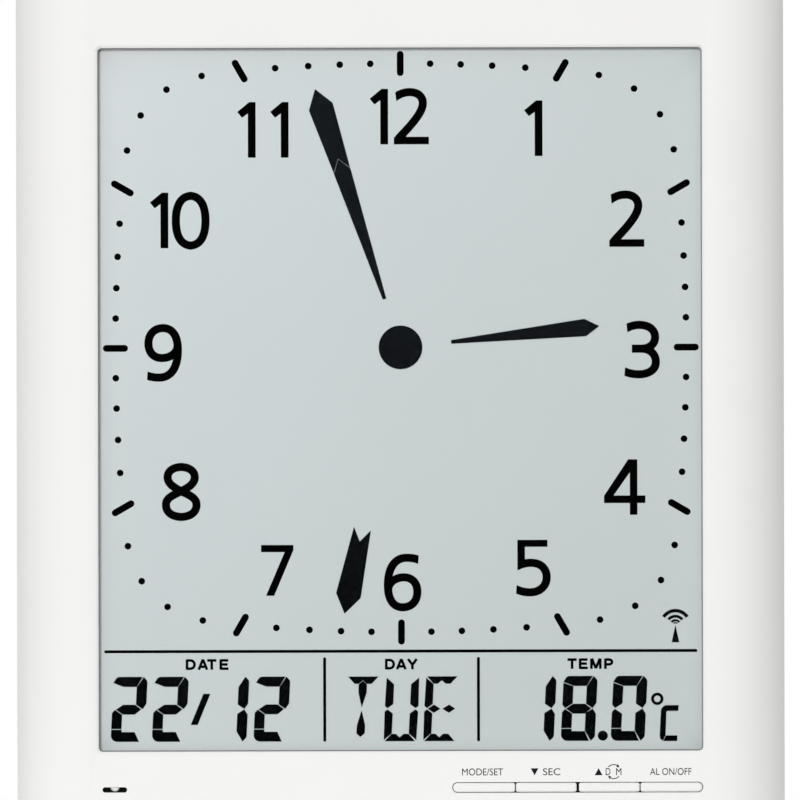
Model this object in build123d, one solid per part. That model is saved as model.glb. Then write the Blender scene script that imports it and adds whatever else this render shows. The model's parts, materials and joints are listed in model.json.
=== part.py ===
from build123d import *
import os
from math import cos, pi, radians, sin, sqrt

# Wall clock with a large liquid-crystal dial, built as separate pieces.
# Frame: millimetres, x to the right seen from the front, y towards the wall, z up.
# Origin: mouth of the round hanging hole on the rear face. The front faces -y.
# Dots, screws, bosses and wires are many-sided prisms, which keeps the meshes light.

# Case
WINDOW_WIDTH = 181.4
WINDOW_HEIGHT = 211.2
WINDOW_CORNER = 1.3
WINDOW_LIP = 0.9            # bevel of the opening's front edge
SIDE_MARGIN = 25.0          # window edge to the case's side
TOP_MARGIN = 20.2
BOTTOM_MARGIN = 28.6
FRONT_LAND = 3.6            # flat strip between the window and the arched flank
FLANK_ANGLE = 70.0          # how far the flank turns away from the front
SHOULDER_RADIUS = 4.0       # flank into straight side
EDGE_RADIUS = 3.0           # top, bottom and corner edges
REAR_CHAMFER = 1.2
WALL = 2.4
COVER_DEPTH = 9.0           # the rear cover's share of the depth
LIP_GAP = 0.2
LIP_THICKNESS = 1.2
LIP_HEIGHT = 2.0
HANGER_DROP = 32.0          # case top to the hanging hole
CORNER_CUT = 1.0            # cut corners of hidden panes and walls
OVERCUT = 1.0               # how far a cut runs past the face it opens

# Display stack
GASKET_THICKNESS = 0.4
GASKET_REVEAL = 0.35        # dark line seen inside the opening
LENS_THICKNESS = 1.5
LENS_OVERLAP = 2.5
RIM_FIT = 0.2
RIM_THICKNESS = 1.2
RIM_STEP = 0.5              # rim ends this far in front of the pane's rear face
MARK_THICKNESS = 0.1
FILM_THICKNESS = 0.2
FILM_OVERLAP = 0.8
GLASS_THICKNESS = 1.1
GLASS_OVERLAP = 1.4
GLASS_LEDGE = 5.0           # contact ledge below the rear glass
LCD_GAP = 0.1               # between the two glasses
SEAL_WIDTH = 1.0
REFLECTOR_THICKNESS = 0.3
FRAME_PLATE = 1.8
FRAME_WALL = 1.5
FRAME_FIT = 0.2
FRAME_BAR = 12.0            # bars left between the frame's openings
FRAME_GUSSET = 4.0
BAY_CLEARANCE = 1.0         # frame to the battery bay
EAR_INSET = 16.0            # window's top or bottom to the nearest ear
EAR_RAISE = 18.0            # middle ears above the window's middle, clear of the case screws
EAR_GAP = 0.3

# Dial
PANEL_HEIGHT = 30.2         # date panel: window bottom to the rule
DIAL_RAISE = 0.6            # dial's centre above the middle of its field
DIAL_EDGE = 5.3             # field's edge to the middle of the hour bars
SIDE_BOW = 510.0            # radius of the bowed sides of the minute track
CORNER_OFFSET = 28.2        # track side to the centre of its corner arc
CORNER_ROUND = 24.7
DOT_DIAMETER = 1.95
BAR_LENGTH = 7.4
BAR_WIDTH = 1.95
RULE_WIDTH = 0.95
RULE_INSET = 1.6
DIVIDER_GAP = 1.8
DIVIDER_INSET = 2.8
LEFT_DIVIDER = 67.8         # from the window's left edge
RIGHT_DIVIDER = 67.6        # from the window's right edge
HUB_RADIUS = 6.5
RAY_START = 15.3
RAY_START_WIDTH = 1.0
RAY_INSET = 3.9             # minute track to the tip of a long ray
RAY_POINT = 5.1             # length of the closing tip
RAY_WIDTH = 7.4
OUTER_LENGTH = 20.4         # outer segment from its ears to its shoulders
JOINT_POINT = 3.7
JOINT_WIDTH = 5.15
SEGMENT_GAP = 0.25
HOUR_ANGLE = 84.0           # clockwise from the top, in steps of six degrees
MINUTE_ANGLE = 342.0
SECOND_ANGLE = 192.0

# Buttons and sensor
BUTTON_DROP = 10.9          # window bottom to the middle of the button bank
BANK_LENGTH = 74.8
BANK_INSET = 0.3            # window's right edge to the end of the bank
BUTTON_HEIGHT = 2.7
BUTTON_GAP = 0.25
CAP_GAP = 0.3
MIDDLE_GAP = 0.75
CAP_CORNER = 0.4
CAP_CHAMFER = 0.4
CAP_PROUD = 0.5
CAP_TRAVEL = 0.6
FLANGE_OVERLAP = 0.8
FLANGE_THICKNESS = 1.0
STEM_WIDTH = 3.0
STEM_HEIGHT = 1.6
SWITCH_WIDTH = 6.0
SWITCH_HEIGHT = 4.4
SWITCH_THICKNESS = 3.5
PLUNGER_WIDTH = 2.8
PLUNGER_PROUD = 1.0
PLUNGER_TAIL = 0.3          # plunger left inside its switch, besides the travel
PLUNGER_ROOM = 0.9          # free depth behind the plunger, besides the travel
PLUNGER_FIT = 0.08
SENSOR_DROP = 11.4          # window bottom to the middle of the sensor slot
SENSOR_INSET = 4.8          # window's left edge to the middle of the sensor slot
SENSOR_SLOT_WIDTH = 7.4
SENSOR_SLOT_HEIGHT = 1.6
SENSOR_SKIN = 1.0           # front wall left in front of the bead
SENSOR_AIR = 0.3
SENSOR_ROOM = 0.8
SENSOR_RADIUS = 1.45
SENSOR_LEG = 0.45
SENSOR_PITCH = 1.2

# Boards
BOARD_OVERHANG = 0.3        # board past the window's side
BOARD_HEIGHT = 58.0
BOARD_THICKNESS = 1.6
BOARD_STANDOFF = 3.4        # frame to board
BOARD_FOOT = 2.0            # case floor to the board's lower edge
UPPER_SCREW_INSET = 6.0
LOWER_SCREW_INSET = 4.0
STRIP_INSET = 16.7          # window's side to the end of a connector strip
STRIP_SPACING = 8.0
STRIP_WIDTH = 2.5
STRIP_FIT = 0.3
CHIP_RADIUS = 9.0
CHIP_HEIGHT = 2.4
CRYSTAL_RADIUS = 1.5
CRYSTAL_LENGTH = 8.0
CRYSTAL_OFFSET = 24.0

# Radio
ANTENNA_DROP = 38.0         # hanging hole to the rod
ROD_RADIUS = 4.0
ROD_LENGTH = 70.0
ROD_DEPTH = 10.0            # rear face to the rod's axis
COIL_RADIUS = 6.0
COIL_LENGTH = 20.0
COIL_GAP = 2.0              # left saddle to the coil
SADDLE_INSET = 6.5          # rod's end to the middle of a saddle
SADDLE_WIDTH = 5.0
SADDLE_HEIGHT = 11.0
COIL_LEAD = 0.3
RECEIVER_DROP = 4.0         # coil to the receiver board
RECEIVER_WIDTH = 40.0
RECEIVER_HEIGHT = 14.0
RECEIVER_THICKNESS = 1.0
RECEIVER_OFFSET = 14.0      # coil's middle to the receiver's
RECEIVER_CHIP_RADIUS = 4.0
RECEIVER_CHIP_HEIGHT = 1.4
POST_RADIUS = 2.2
POST_PIN = 1.0
POST_INSET = 3.0
POST_RAISE = 3.0
PIN_STAKE = 0.8             # pin left standing in front of the board
RIBBON_WIDTH = 5.4
RIBBON_INSET = 6.0

# Sounder
SOUNDER_RADIUS = 13.5
SOUNDER_THICKNESS = 0.3
CERAMIC_RADIUS = 10.0
CERAMIC_THICKNESS = 0.3
SOUNDER_LIFT = 2.0          # rear wall to the brass plate
SOUNDER_LEDGE = 1.0
SOUNDER_FIT = 0.15
SOUNDER_RING = 1.4
SOUNDER_OFFSET = 26.0       # battery bay's end to the sounder's centre
SOUND_HOLE = 1.1
SOUND_PITCH = 5.0

# Battery bay
CELL_DIAMETER = 14.5
CELL_LENGTH = 50.5
CELL_SHOULDER = 0.8
CELL_CLEARANCE = 0.3
NUB_RADIUS = 2.75
NUB_LENGTH = 1.0
CONTACT_REACH = 2.5
CONTACT_THICKNESS = 0.5
CONTACT_WIDTH = 10.0
LEAF_WIDTH = 7.0
LEAF_SPAN = 9.0
LEAF_FLAT = 2.4
LEAF_FOOT = 1.0
TAB_OFFSET = 3.0            # cell's axis to a solder tab
TAB_LENGTH = 3.0
TAB_WIDTH = 2.4
TAB_FIT = 0.1
BAY_WALL = 1.5
BAY_RISE = 18.0             # board's upper edge to the battery door
DOOR_LEDGE = 2.2
DOOR_GAP = 0.3
DOOR_CORNER = 1.5
LATCH_WIDTH = 14.0
LATCH_LENGTH = 9.0
LATCH_SLIT = 0.9
LATCH_NIB = 0.2
GRIP_START = 2.5
GRIP_PITCH = 1.8
GRIP_WIDTH = 0.7
GRIP_DEPTH = 0.5
PIN_RADIUS = 0.7
PIN_LENGTH = 2.0
PIN_FIT = 0.05
PIN_ROOM = 0.3
SCOOP_DEPTH = 1.1

# Hanging hole
HOLE_RADIUS = 4.5
SLOT_RADIUS = 2.2
SLOT_RISE = 7.5
POCKET_DEPTH = 5.0
POCKET_WALL = 1.5
POCKET_ROOM = 1.0
POCKET_CUT = 2.0

# Screws and wires
CASE_SCREW = 1.5
CASE_HEAD = 2.8
CASE_HEAD_HEIGHT = 2.0
CASE_SCREW_LENGTH = 9.0
RECESS_DEPTH = 1.0
RECESS_WIDTH = 0.85
RECESS_LENGTH = 3.6
SMALL_SCREW = 1.2
SMALL_HEAD = 2.3
SMALL_HEAD_HEIGHT = 1.6
SMALL_SCREW_LENGTH = 5.0
SCREW_FIT = 0.05
SCREW_PASS = 0.2            # free fit through the rear cover
SCREW_END = 0.5             # room left under a screw's tip
BOSS_WALL = 1.7
BOSS_GAP = 0.8
WELL_DEPTH = 6.0
WELL_FLOOR = 1.6
WELL_ROOM = 0.4
WELL_WALL = 1.4
LEAD_RADIUS = 0.55
LEAD_BEND = 2.0
LEAD_PITCH = 2.0
LEAD_LANDING = 7.0          # board's upper edge to the soldered wire ends
BATTERY_BEND = 1.2
BATTERY_STAGGER = 6.0

# Outline and depth levels that follow from the values above
CASE_WIDTH = WINDOW_WIDTH + 2 * SIDE_MARGIN
CASE_HEIGHT = WINDOW_HEIGHT + TOP_MARGIN + BOTTOM_MARGIN
CASE_TOP = HANGER_DROP
CASE_BOTTOM = CASE_TOP - CASE_HEIGHT
CASE_MID = (CASE_TOP + CASE_BOTTOM) / 2
WINDOW_TOP = CASE_TOP - TOP_MARGIN
WINDOW_BOTTOM = WINDOW_TOP - WINDOW_HEIGHT
WINDOW_MID = (WINDOW_TOP + WINDOW_BOTTOM) / 2
WINDOW_HALF = WINDOW_WIDTH / 2
FLANK_WIDTH = SIDE_MARGIN - FRONT_LAND
FLANK_RADIUS = SHOULDER_RADIUS + (FLANK_WIDTH - SHOULDER_RADIUS) / sin(radians(FLANK_ANGLE))

SPLIT_Y = -COVER_DEPTH
CELL_Y = -(WALL + CELL_CLEARANCE + CELL_DIAMETER / 2)
BAY_FLOOR_Y = -(WALL + 2 * CELL_CLEARANCE + CELL_DIAMETER)
BAY_FRONT_Y = BAY_FLOOR_Y - BAY_WALL
FRAME_REAR_Y = BAY_FRONT_Y - BAY_CLEARANCE
FRAME_FRONT_Y = FRAME_REAR_Y - FRAME_PLATE
REAR_GLASS_Y = FRAME_FRONT_Y - REFLECTOR_THICKNESS
CELL_REAR_Y = REAR_GLASS_Y - GLASS_THICKNESS
CELL_FRONT_Y = CELL_REAR_Y - LCD_GAP
FILM_Y = CELL_FRONT_Y - GLASS_THICKNESS
MARK_Y = FILM_Y - FILM_THICKNESS
LENS_REAR_Y = MARK_Y - MARK_THICKNESS
LENS_FRONT_Y = LENS_REAR_Y - LENS_THICKNESS
INNER_Y = LENS_FRONT_Y - GASKET_THICKNESS
FRONT_Y = INNER_Y - WALL
BOARD_FRONT_Y = FRAME_REAR_Y + BOARD_STANDOFF
BOARD_REAR_Y = BOARD_FRONT_Y + BOARD_THICKNESS
SWITCH_Y = BOARD_FRONT_Y - SWITCH_THICKNESS
PLUNGER_Y = SWITCH_Y - PLUNGER_PROUD
ROOT_Y = INNER_Y - WALL / 3                  # posts and rims start inside the front wall

FIELD_HEIGHT = WINDOW_HEIGHT - PANEL_HEIGHT
RULE_Z = WINDOW_TOP - FIELD_HEIGHT
DIAL_Z = WINDOW_TOP - FIELD_HEIGHT / 2 + DIAL_RAISE
TRACK_HALF = min(WINDOW_WIDTH, FIELD_HEIGHT) / 2 - DIAL_EDGE
RAY_TIP = TRACK_HALF - RAY_INSET
RAY_SHOULDER = RAY_TIP - RAY_POINT
JOINT_SHOULDER = RAY_SHOULDER - OUTER_LENGTH
JOINT_TIP = JOINT_SHOULDER + JOINT_POINT

RIM_WIDTH = WINDOW_WIDTH + 2 * (LENS_OVERLAP + RIM_FIT)
RIM_HEIGHT = WINDOW_HEIGHT + 2 * (LENS_OVERLAP + RIM_FIT)
GLASS_BOTTOM = WINDOW_BOTTOM - GLASS_OVERLAP - GLASS_LEDGE
FRAME_EDGE = GLASS_OVERLAP + FRAME_FIT + FRAME_WALL
FRAME_WIDTH = WINDOW_WIDTH + 2 * FRAME_EDGE
FRAME_TOP = WINDOW_TOP + FRAME_EDGE
FRAME_BOTTOM = GLASS_BOTTOM - FRAME_FIT - FRAME_WALL
FRAME_MID = (FRAME_TOP + FRAME_BOTTOM) / 2
BOARD_WIDTH = WINDOW_WIDTH + 2 * BOARD_OVERHANG
BOARD_BOTTOM = CASE_BOTTOM + WALL + BOARD_FOOT
BOARD_TOP = BOARD_BOTTOM + BOARD_HEIGHT
BOARD_MID = (BOARD_TOP + BOARD_BOTTOM) / 2
LEAD_END = BOARD_TOP - LEAD_LANDING
BUTTON_Z = WINDOW_BOTTOM - BUTTON_DROP
BANK_X = WINDOW_HALF - BANK_INSET - BANK_LENGTH / 2
SENSOR_X = SENSOR_INSET - WINDOW_HALF
SENSOR_Z = WINDOW_BOTTOM - SENSOR_DROP
STRIP_LENGTH = WINDOW_HALF - STRIP_INSET - STRIP_SPACING / 2
STRIP_Z = WINDOW_BOTTOM - GLASS_OVERLAP - GLASS_LEDGE / 2
STRIP_POINTS = [(side * (STRIP_LENGTH + STRIP_SPACING) / 2, STRIP_Z) for side in (-1, 1)]

BAY_LENGTH = CELL_LENGTH + 2 * CONTACT_REACH
BAY_HEIGHT = 2 * CELL_DIAMETER + 3 * CELL_CLEARANCE
BAY_HALF = BAY_LENGTH / 2
DOOR_WIDTH = BAY_LENGTH + 2 * DOOR_LEDGE
DOOR_HEIGHT = BAY_HEIGHT + 2 * DOOR_LEDGE
DOOR_BOTTOM = BOARD_TOP + BAY_RISE
DOOR_TOP = DOOR_BOTTOM + DOOR_HEIGHT
BAY_MID = (DOOR_TOP + DOOR_BOTTOM) / 2
HINGE_Y = -WALL / 2
HINGE_Z = DOOR_TOP - WALL / 2
CELL_PITCH = CELL_DIAMETER + CELL_CLEARANCE
UPPER_CELL_Z = BAY_MID + CELL_PITCH / 2
LOWER_CELL_Z = BAY_MID - CELL_PITCH / 2
PLUS_TAB_Y = CELL_Y + TAB_OFFSET
MINUS_TAB_Y = CELL_Y - TAB_OFFSET

CASE_BOSS = CASE_SCREW + SCREW_FIT + BOSS_WALL
SMALL_BOSS = SMALL_SCREW + SCREW_FIT + BOSS_WALL
WELL_END_Y = -(WELL_DEPTH + WELL_FLOOR)
CASE_SCREW_INSET = WALL + LIP_GAP + LIP_THICKNESS + BOSS_GAP + CASE_BOSS
CASE_SCREW_X = CASE_WIDTH / 2 - CASE_SCREW_INSET
CASE_POINTS = [
    (side * CASE_SCREW_X, z)
    for side in (-1, 1)
    for z in (CASE_TOP - CASE_SCREW_INSET, CASE_MID, CASE_BOTTOM + CASE_SCREW_INSET)
]
EAR_X = FRAME_WIDTH / 2 + SMALL_BOSS + EAR_GAP
EAR_POINTS = [
    (side * EAR_X, z)
    for side in (-1, 1)
    for z in (WINDOW_TOP - EAR_INSET, WINDOW_MID + EAR_RAISE, WINDOW_BOTTOM + EAR_INSET)
]
BOARD_SCREW_X = BOARD_WIDTH / 2 - UPPER_SCREW_INSET
UPPER_BOARD_POINTS = [(side * BOARD_SCREW_X, BOARD_TOP - UPPER_SCREW_INSET) for side in (-1, 1)]
LOWER_BOARD_POINTS = [(side * BOARD_SCREW_X, BOARD_BOTTOM + LOWER_SCREW_INSET) for side in (-1, 1)]
BOARD_POINTS = UPPER_BOARD_POINTS + LOWER_BOARD_POINTS

ROD_Y = -ROD_DEPTH
ROD_Z = -ANTENNA_DROP
SADDLE_X = ROD_LENGTH / 2 - SADDLE_INSET
COIL_X = -SADDLE_X + SADDLE_WIDTH / 2 + COIL_GAP + COIL_LENGTH / 2
RECEIVER_X = COIL_X - RECEIVER_OFFSET
RECEIVER_TOP = ROD_Z - COIL_RADIUS - RECEIVER_DROP
RECEIVER_MID = RECEIVER_TOP - RECEIVER_HEIGHT / 2
RECEIVER_REAR_Y = ROD_Y + RECEIVER_THICKNESS / 2
RECEIVER_FRONT_Y = ROD_Y - RECEIVER_THICKNESS / 2
POST_REACH = RECEIVER_WIDTH / 2 - POST_INSET
POST_POINTS = [(RECEIVER_X + side * POST_REACH, RECEIVER_MID + POST_RAISE) for side in (-1, 1)]
SOUNDER_X = BAY_HALF + BAY_WALL + SOUNDER_OFFSET
SOUNDER_Y = -(WALL + SOUNDER_LIFT)
PLATE_Y = SOUNDER_Y - SOUNDER_THICKNESS
CERAMIC_Y = PLATE_Y - CERAMIC_THICKNESS


def facing(y):
    """Sketch plane at depth y seen from the front: local x is x, local y is z."""
    return Plane(origin=(0, y, 0), x_dir=(1, 0, 0), z_dir=(0, -1, 0))


def slab(sketch, rear, front):
    """A sketch drawn as seen from the front, filled between two depth levels."""
    return extrude(facing(rear) * sketch, amount=rear - front)


def copies(points, sketch):
    """The same sketch at several (x, z) points."""
    return Sketch() + [Pos(*point) * sketch for point in points]


def peg(radius, sides=8):
    """Outline of a small round feature."""
    return RegularPolygon(radius, sides)


def rounded(width, height, radius, z):
    """Rounded rectangle whose middle is at height z."""
    return Pos(0, z) * RectangleRounded(width, height, radius)


def trimmed(width, height, cut, z=0.0):
    """Rectangle with cut corners whose middle is at height z."""
    return Pos(0, z) * chamfer(Rectangle(width, height).vertices(), cut)


def bar(length, width):
    """Printed bar along local x with blunt round ends."""
    return chamfer(Rectangle(length, width).vertices(), 0.3 * width)


def bar_x(radius, start, end, y, z):
    """Round bar along x."""
    return Pos((start + end) / 2, y, z) * Rot(0, 90, 0) * Cylinder(radius, abs(end - start))


def block(x_range, y_range, z_range):
    """Box between two corners."""
    spans = (x_range, y_range, z_range)
    centre = [(low + high) / 2 for low, high in spans]
    return Pos(*centre) * Box(*[abs(high - low) for low, high in spans])


def around(middle, size):
    """Span of the given size about a middle."""
    return (middle - size / 2, middle + size / 2)


def group(solids):
    """Separate solids kept in one node."""
    return Compound(children=list(solids))


def wire_run(points, section, bend=LEAD_BEND):
    """Section carried along straight runs joined by arcs; it starts downwards."""
    path = FilletPolyline(*points, radius=bend) if len(points) > 2 else Line(*points)
    start = Plane(origin=path @ 0, x_dir=(1, 0, 0), z_dir=path % 0)
    return sweep(start * section, path=path)


def lead(radius=LEAD_RADIUS):
    """Section of a thin wire, flat towards the front and the rear."""
    return RegularPolygon(radius, 6, major_radius=False)


def case_section(inset, rear):
    """Case seen from above: flat front, arched flanks, straight sides, cut off at depth rear."""
    land = WINDOW_HALF + FRONT_LAND
    half = CASE_WIDTH / 2 - inset
    front = Line((-land, FRONT_Y + inset), (land, FRONT_Y + inset))
    arch = JernArc(front @ 1, front % 1, FLANK_RADIUS - inset, FLANK_ANGLE)
    shoulder = JernArc(arch @ 1, arch % 1, SHOULDER_RADIUS - inset, 90 - FLANK_ANGLE)
    side = Line(shoulder @ 1, (half, rear))
    right = Curve() + [arch, shoulder, side]
    return make_face(Curve() + [front, right, mirror(right, Plane.YZ), Line((half, rear), (-half, rear))])


def case_block(inset, rear):
    """Case shape made solid, smaller by inset all round."""
    face = Pos(0, 0, CASE_BOTTOM + inset) * case_section(inset, rear)
    return extrude(face, amount=CASE_HEIGHT - 2 * inset, dir=(0, 0, 1))


def front_shell():
    """Open case front with rounded ends and the window's bevelled lip."""
    outer = case_block(0, SPLIT_Y)
    ends = outer.faces().filter_by(Axis.Z).edges()
    outer = fillet(ends.filter_by(lambda e: e.center().Y < SPLIT_Y - 0.01), EDGE_RADIUS)
    shell = outer - case_block(WALL, SPLIT_Y + OVERCUT)
    opening = rounded(WINDOW_WIDTH, WINDOW_HEIGHT, WINDOW_CORNER, WINDOW_MID)
    shell -= slab(opening, INNER_Y + OVERCUT, FRONT_Y - OVERCUT)
    lip = shell.edges().filter_by(
        lambda e: abs(e.center().Y - FRONT_Y) < 0.001
        and abs(e.center().X) < WINDOW_HALF + 0.1
        and abs(e.center().Z - WINDOW_MID) < WINDOW_HEIGHT / 2 + 0.1
    )
    return chamfer(lip, WINDOW_LIP)


def front_housing():
    rim = trimmed(RIM_WIDTH + 2 * RIM_THICKNESS, RIM_HEIGHT + 2 * RIM_THICKNESS, CORNER_CUT, WINDOW_MID)
    rim -= trimmed(RIM_WIDTH, RIM_HEIGHT, CORNER_CUT, WINDOW_MID)
    posts = slab(rim, LENS_REAR_Y - RIM_STEP, ROOT_Y)
    posts += slab(copies(CASE_POINTS, peg(CASE_BOSS)), WELL_END_Y, FRONT_Y)
    posts += slab(copies(EAR_POINTS, peg(SMALL_BOSS)), FRAME_FRONT_Y, FRONT_Y)
    posts += slab(copies(LOWER_BOARD_POINTS, peg(SMALL_BOSS)), BOARD_FRONT_Y, ROOT_Y)
    shell = front_shell() + (posts & case_block(WALL / 3, 0))
    small = peg(SMALL_SCREW + SCREW_FIT)
    shell -= slab(copies(CASE_POINTS, peg(CASE_SCREW + SCREW_FIT)), 0, WELL_END_Y - CASE_SCREW_LENGTH)
    shell -= slab(copies(EAR_POINTS, small), 0, FRAME_REAR_Y - SMALL_SCREW_LENGTH)
    shell -= slab(copies(LOWER_BOARD_POINTS, small), 0, BOARD_REAR_Y - SMALL_SCREW_LENGTH)
    bank = SlotOverall(BANK_LENGTH + 2 * BUTTON_GAP, BUTTON_HEIGHT + 2 * BUTTON_GAP)
    slot = SlotOverall(SENSOR_SLOT_WIDTH, SENSOR_SLOT_HEIGHT)
    cuts = Pos(BANK_X, BUTTON_Z) * bank + Pos(SENSOR_X, SENSOR_Z) * slot
    shell -= slab(cuts, INNER_Y + OVERCUT, FRONT_Y - OVERCUT)
    pocket = Rectangle(SENSOR_SLOT_WIDTH + 2 * SENSOR_ROOM, 4 * SENSOR_RADIUS)
    return shell - slab(Pos(SENSOR_X, SENSOR_Z) * pocket, INNER_Y + OVERCUT, FRONT_Y + SENSOR_SKIN)


def pane():
    """Outline shared by the window and its gasket."""
    width, height = WINDOW_WIDTH + 2 * LENS_OVERLAP, WINDOW_HEIGHT + 2 * LENS_OVERLAP
    return trimmed(width, height, CORNER_CUT, WINDOW_MID)


def window_gasket():
    width, height = WINDOW_WIDTH - 2 * GASKET_REVEAL, WINDOW_HEIGHT - 2 * GASKET_REVEAL
    return slab(pane() - trimmed(width, height, CORNER_CUT / 2, WINDOW_MID), LENS_FRONT_Y, INNER_Y)


def display_window():
    return slab(pane(), LENS_REAR_Y, LENS_FRONT_Y)


def track_radius(angle):
    """Distance from the dial's centre to the minute track along a ray.

    The track is a square with bowed sides and round corners; the angle is in degrees."""
    turn = radians(min(angle % 90, 90 - angle % 90))
    centre = TRACK_HALF - SIDE_BOW
    side = centre * cos(turn) + sqrt(SIDE_BOW ** 2 - (centre * sin(turn)) ** 2)
    corner = TRACK_HALF - CORNER_OFFSET
    along = corner * (cos(turn) + sin(turn))
    inside = CORNER_ROUND ** 2 - 2 * corner ** 2 + along ** 2
    near_corner = 30 < angle % 90 < 60
    return min(side, along + sqrt(inside)) if near_corner and inside > 0 else side


def dial_point(angle, radius):
    """Point on the dial, angle in degrees clockwise from the top."""
    return (radius * sin(radians(angle)), DIAL_Z + radius * cos(radians(angle)))


def dial_marks():
    marks = []
    for minute in range(60):
        angle = 6 * minute
        shape = bar(BAR_LENGTH, BAR_WIDTH) if minute % 5 == 0 else peg(DOT_DIAMETER / 2)
        marks.append(Pos(*dial_point(angle, track_radius(angle))) * Rot(0, 0, 90 - angle) * shape)
    marks.append(Pos(0, RULE_Z) * bar(WINDOW_WIDTH - 2 * RULE_INSET, RULE_WIDTH))
    low, high = WINDOW_BOTTOM + DIVIDER_INSET, RULE_Z - DIVIDER_GAP
    for x in (-WINDOW_HALF + LEFT_DIVIDER, WINDOW_HALF - RIGHT_DIVIDER):
        marks.append(Pos(x, (low + high) / 2) * Rot(0, 0, 90) * bar(high - low, RULE_WIDTH))
    return group(slab(mark, MARK_Y, LENS_REAR_Y) for mark in marks)


def ray(angle, corners):
    """Flat pointed segment on a ray; corners are (radius, half width) from root to tip."""
    points = []
    for radius, offset in corners + [(radius, -offset) for radius, offset in reversed(corners) if offset]:
        x, z = dial_point(angle, radius)
        points.append((x + offset * cos(radians(angle)), z - offset * sin(radians(angle))))
    return make_face(Polyline(*points, close=True))


def inner_ray(angle):
    return ray(angle, [(RAY_START, RAY_START_WIDTH / 2), (JOINT_SHOULDER, JOINT_WIDTH / 2), (JOINT_TIP, 0)])


def outer_ray(angle):
    notch = (JOINT_TIP + SEGMENT_GAP, 0)
    ear = (JOINT_SHOULDER + SEGMENT_GAP, JOINT_WIDTH / 2)
    return ray(angle, [notch, ear, (RAY_SHOULDER, RAY_WIDTH / 2), (RAY_TIP, 0)])


def lcd_segments():
    shapes = [Pos(0, DIAL_Z) * Circle(HUB_RADIUS), inner_ray(HOUR_ANGLE), outer_ray(SECOND_ANGLE)]
    shapes += [inner_ray(MINUTE_ANGLE), outer_ray(MINUTE_ANGLE)]
    return group(slab(shape, CELL_REAR_Y, CELL_FRONT_Y) for shape in shapes)


def glass_outline(bottom):
    top = WINDOW_TOP + GLASS_OVERLAP
    return Pos(0, (top + bottom) / 2) * Rectangle(WINDOW_WIDTH + 2 * GLASS_OVERLAP, top - bottom)


def lcd_seal():
    shift = 2 * (GLASS_OVERLAP - SEAL_WIDTH)
    inside = Pos(0, WINDOW_MID) * Rectangle(WINDOW_WIDTH + shift, WINDOW_HEIGHT + shift)
    return slab(glass_outline(WINDOW_BOTTOM - GLASS_OVERLAP) - inside, CELL_REAR_Y, CELL_FRONT_Y)


def film(rear, front):
    """Thin sheet a little larger than the window."""
    sheet = Rectangle(WINDOW_WIDTH + 2 * FILM_OVERLAP, WINDOW_HEIGHT + 2 * FILM_OVERLAP)
    return slab(Pos(0, WINDOW_MID) * sheet, rear, front)


def frame_gaps():
    """Four openings that leave a cross of bars behind the glass."""
    upper, lower = WINDOW_TOP - FRAME_BAR, BOARD_TOP + FRAME_BAR
    width, height = (WINDOW_WIDTH - 3 * FRAME_BAR) / 2, (upper - lower - FRAME_BAR) / 2
    points = [
        (side * (width + FRAME_BAR) / 2, z)
        for side in (-1, 1)
        for z in (upper - height / 2, lower + height / 2)
    ]
    return copies(points, trimmed(width, height, FRAME_GUSSET))


def lcd_frame():
    outline = Pos(0, FRAME_MID) * Rectangle(FRAME_WIDTH, FRAME_TOP - FRAME_BOTTOM)
    bridges = [((x + FRAME_WIDTH / 2 * x / abs(x)) / 2, z) for x, z in EAR_POINTS]
    plate = outline + copies(EAR_POINTS, peg(SMALL_BOSS))
    plate += copies(bridges, Rectangle(SMALL_BOSS + 2 * EAR_GAP, SMALL_BOSS))
    plate -= frame_gaps()
    plate -= copies(STRIP_POINTS, Rectangle(STRIP_LENGTH + 2 * STRIP_FIT, STRIP_WIDTH + 2 * STRIP_FIT))
    frame = slab(plate, FRAME_REAR_Y, FRAME_FRONT_Y)
    tray = Rectangle(FRAME_WIDTH - 2 * FRAME_WALL, FRAME_TOP - FRAME_BOTTOM - 2 * FRAME_WALL)
    frame += slab(outline - Pos(0, FRAME_MID) * tray, FRAME_FRONT_Y, FILM_Y)
    frame += slab(copies(UPPER_BOARD_POINTS, peg(SMALL_BOSS)), BOARD_FRONT_Y, FRAME_REAR_Y)
    holes = copies(EAR_POINTS + UPPER_BOARD_POINTS, peg(SMALL_SCREW + SCREW_FIT))
    return frame - slab(holes, BOARD_FRONT_Y + OVERCUT, FRAME_FRONT_Y - OVERCUT)


def lcd_connector_strips():
    strip = Rectangle(STRIP_LENGTH, STRIP_WIDTH)
    return group(slab(Pos(*point) * strip, BOARD_FRONT_Y, CELL_FRONT_Y) for point in STRIP_POINTS)


def screw(point, seat, shank, length, head, head_height):
    """Pan-head screw driven from the rear; seat is the depth its head rests on."""
    body = slab(Pos(*point) * head, seat + head_height, seat)
    return body + slab(Pos(*point) * peg(shank), seat, seat - length)


def small_screws(points, seat):
    length = SMALL_SCREW_LENGTH - SCREW_END
    head = peg(SMALL_HEAD)
    return group(screw(point, seat, SMALL_SCREW, length, head, SMALL_HEAD_HEIGHT) for point in points)


def case_screws():
    length = WELL_FLOOR + CASE_SCREW_LENGTH - SCREW_END
    top = CASE_HEAD_HEIGHT - WELL_DEPTH
    cross = Rectangle(RECESS_LENGTH, RECESS_WIDTH) + Rectangle(RECESS_WIDTH, RECESS_LENGTH)
    screws = []
    for point in CASE_POINTS:
        body = screw(point, -WELL_DEPTH, CASE_SCREW, length, peg(CASE_HEAD, 12), CASE_HEAD_HEIGHT)
        screws.append(body - slab(Pos(*point) * cross, top, top - RECESS_DEPTH))
    return group(screws)


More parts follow.
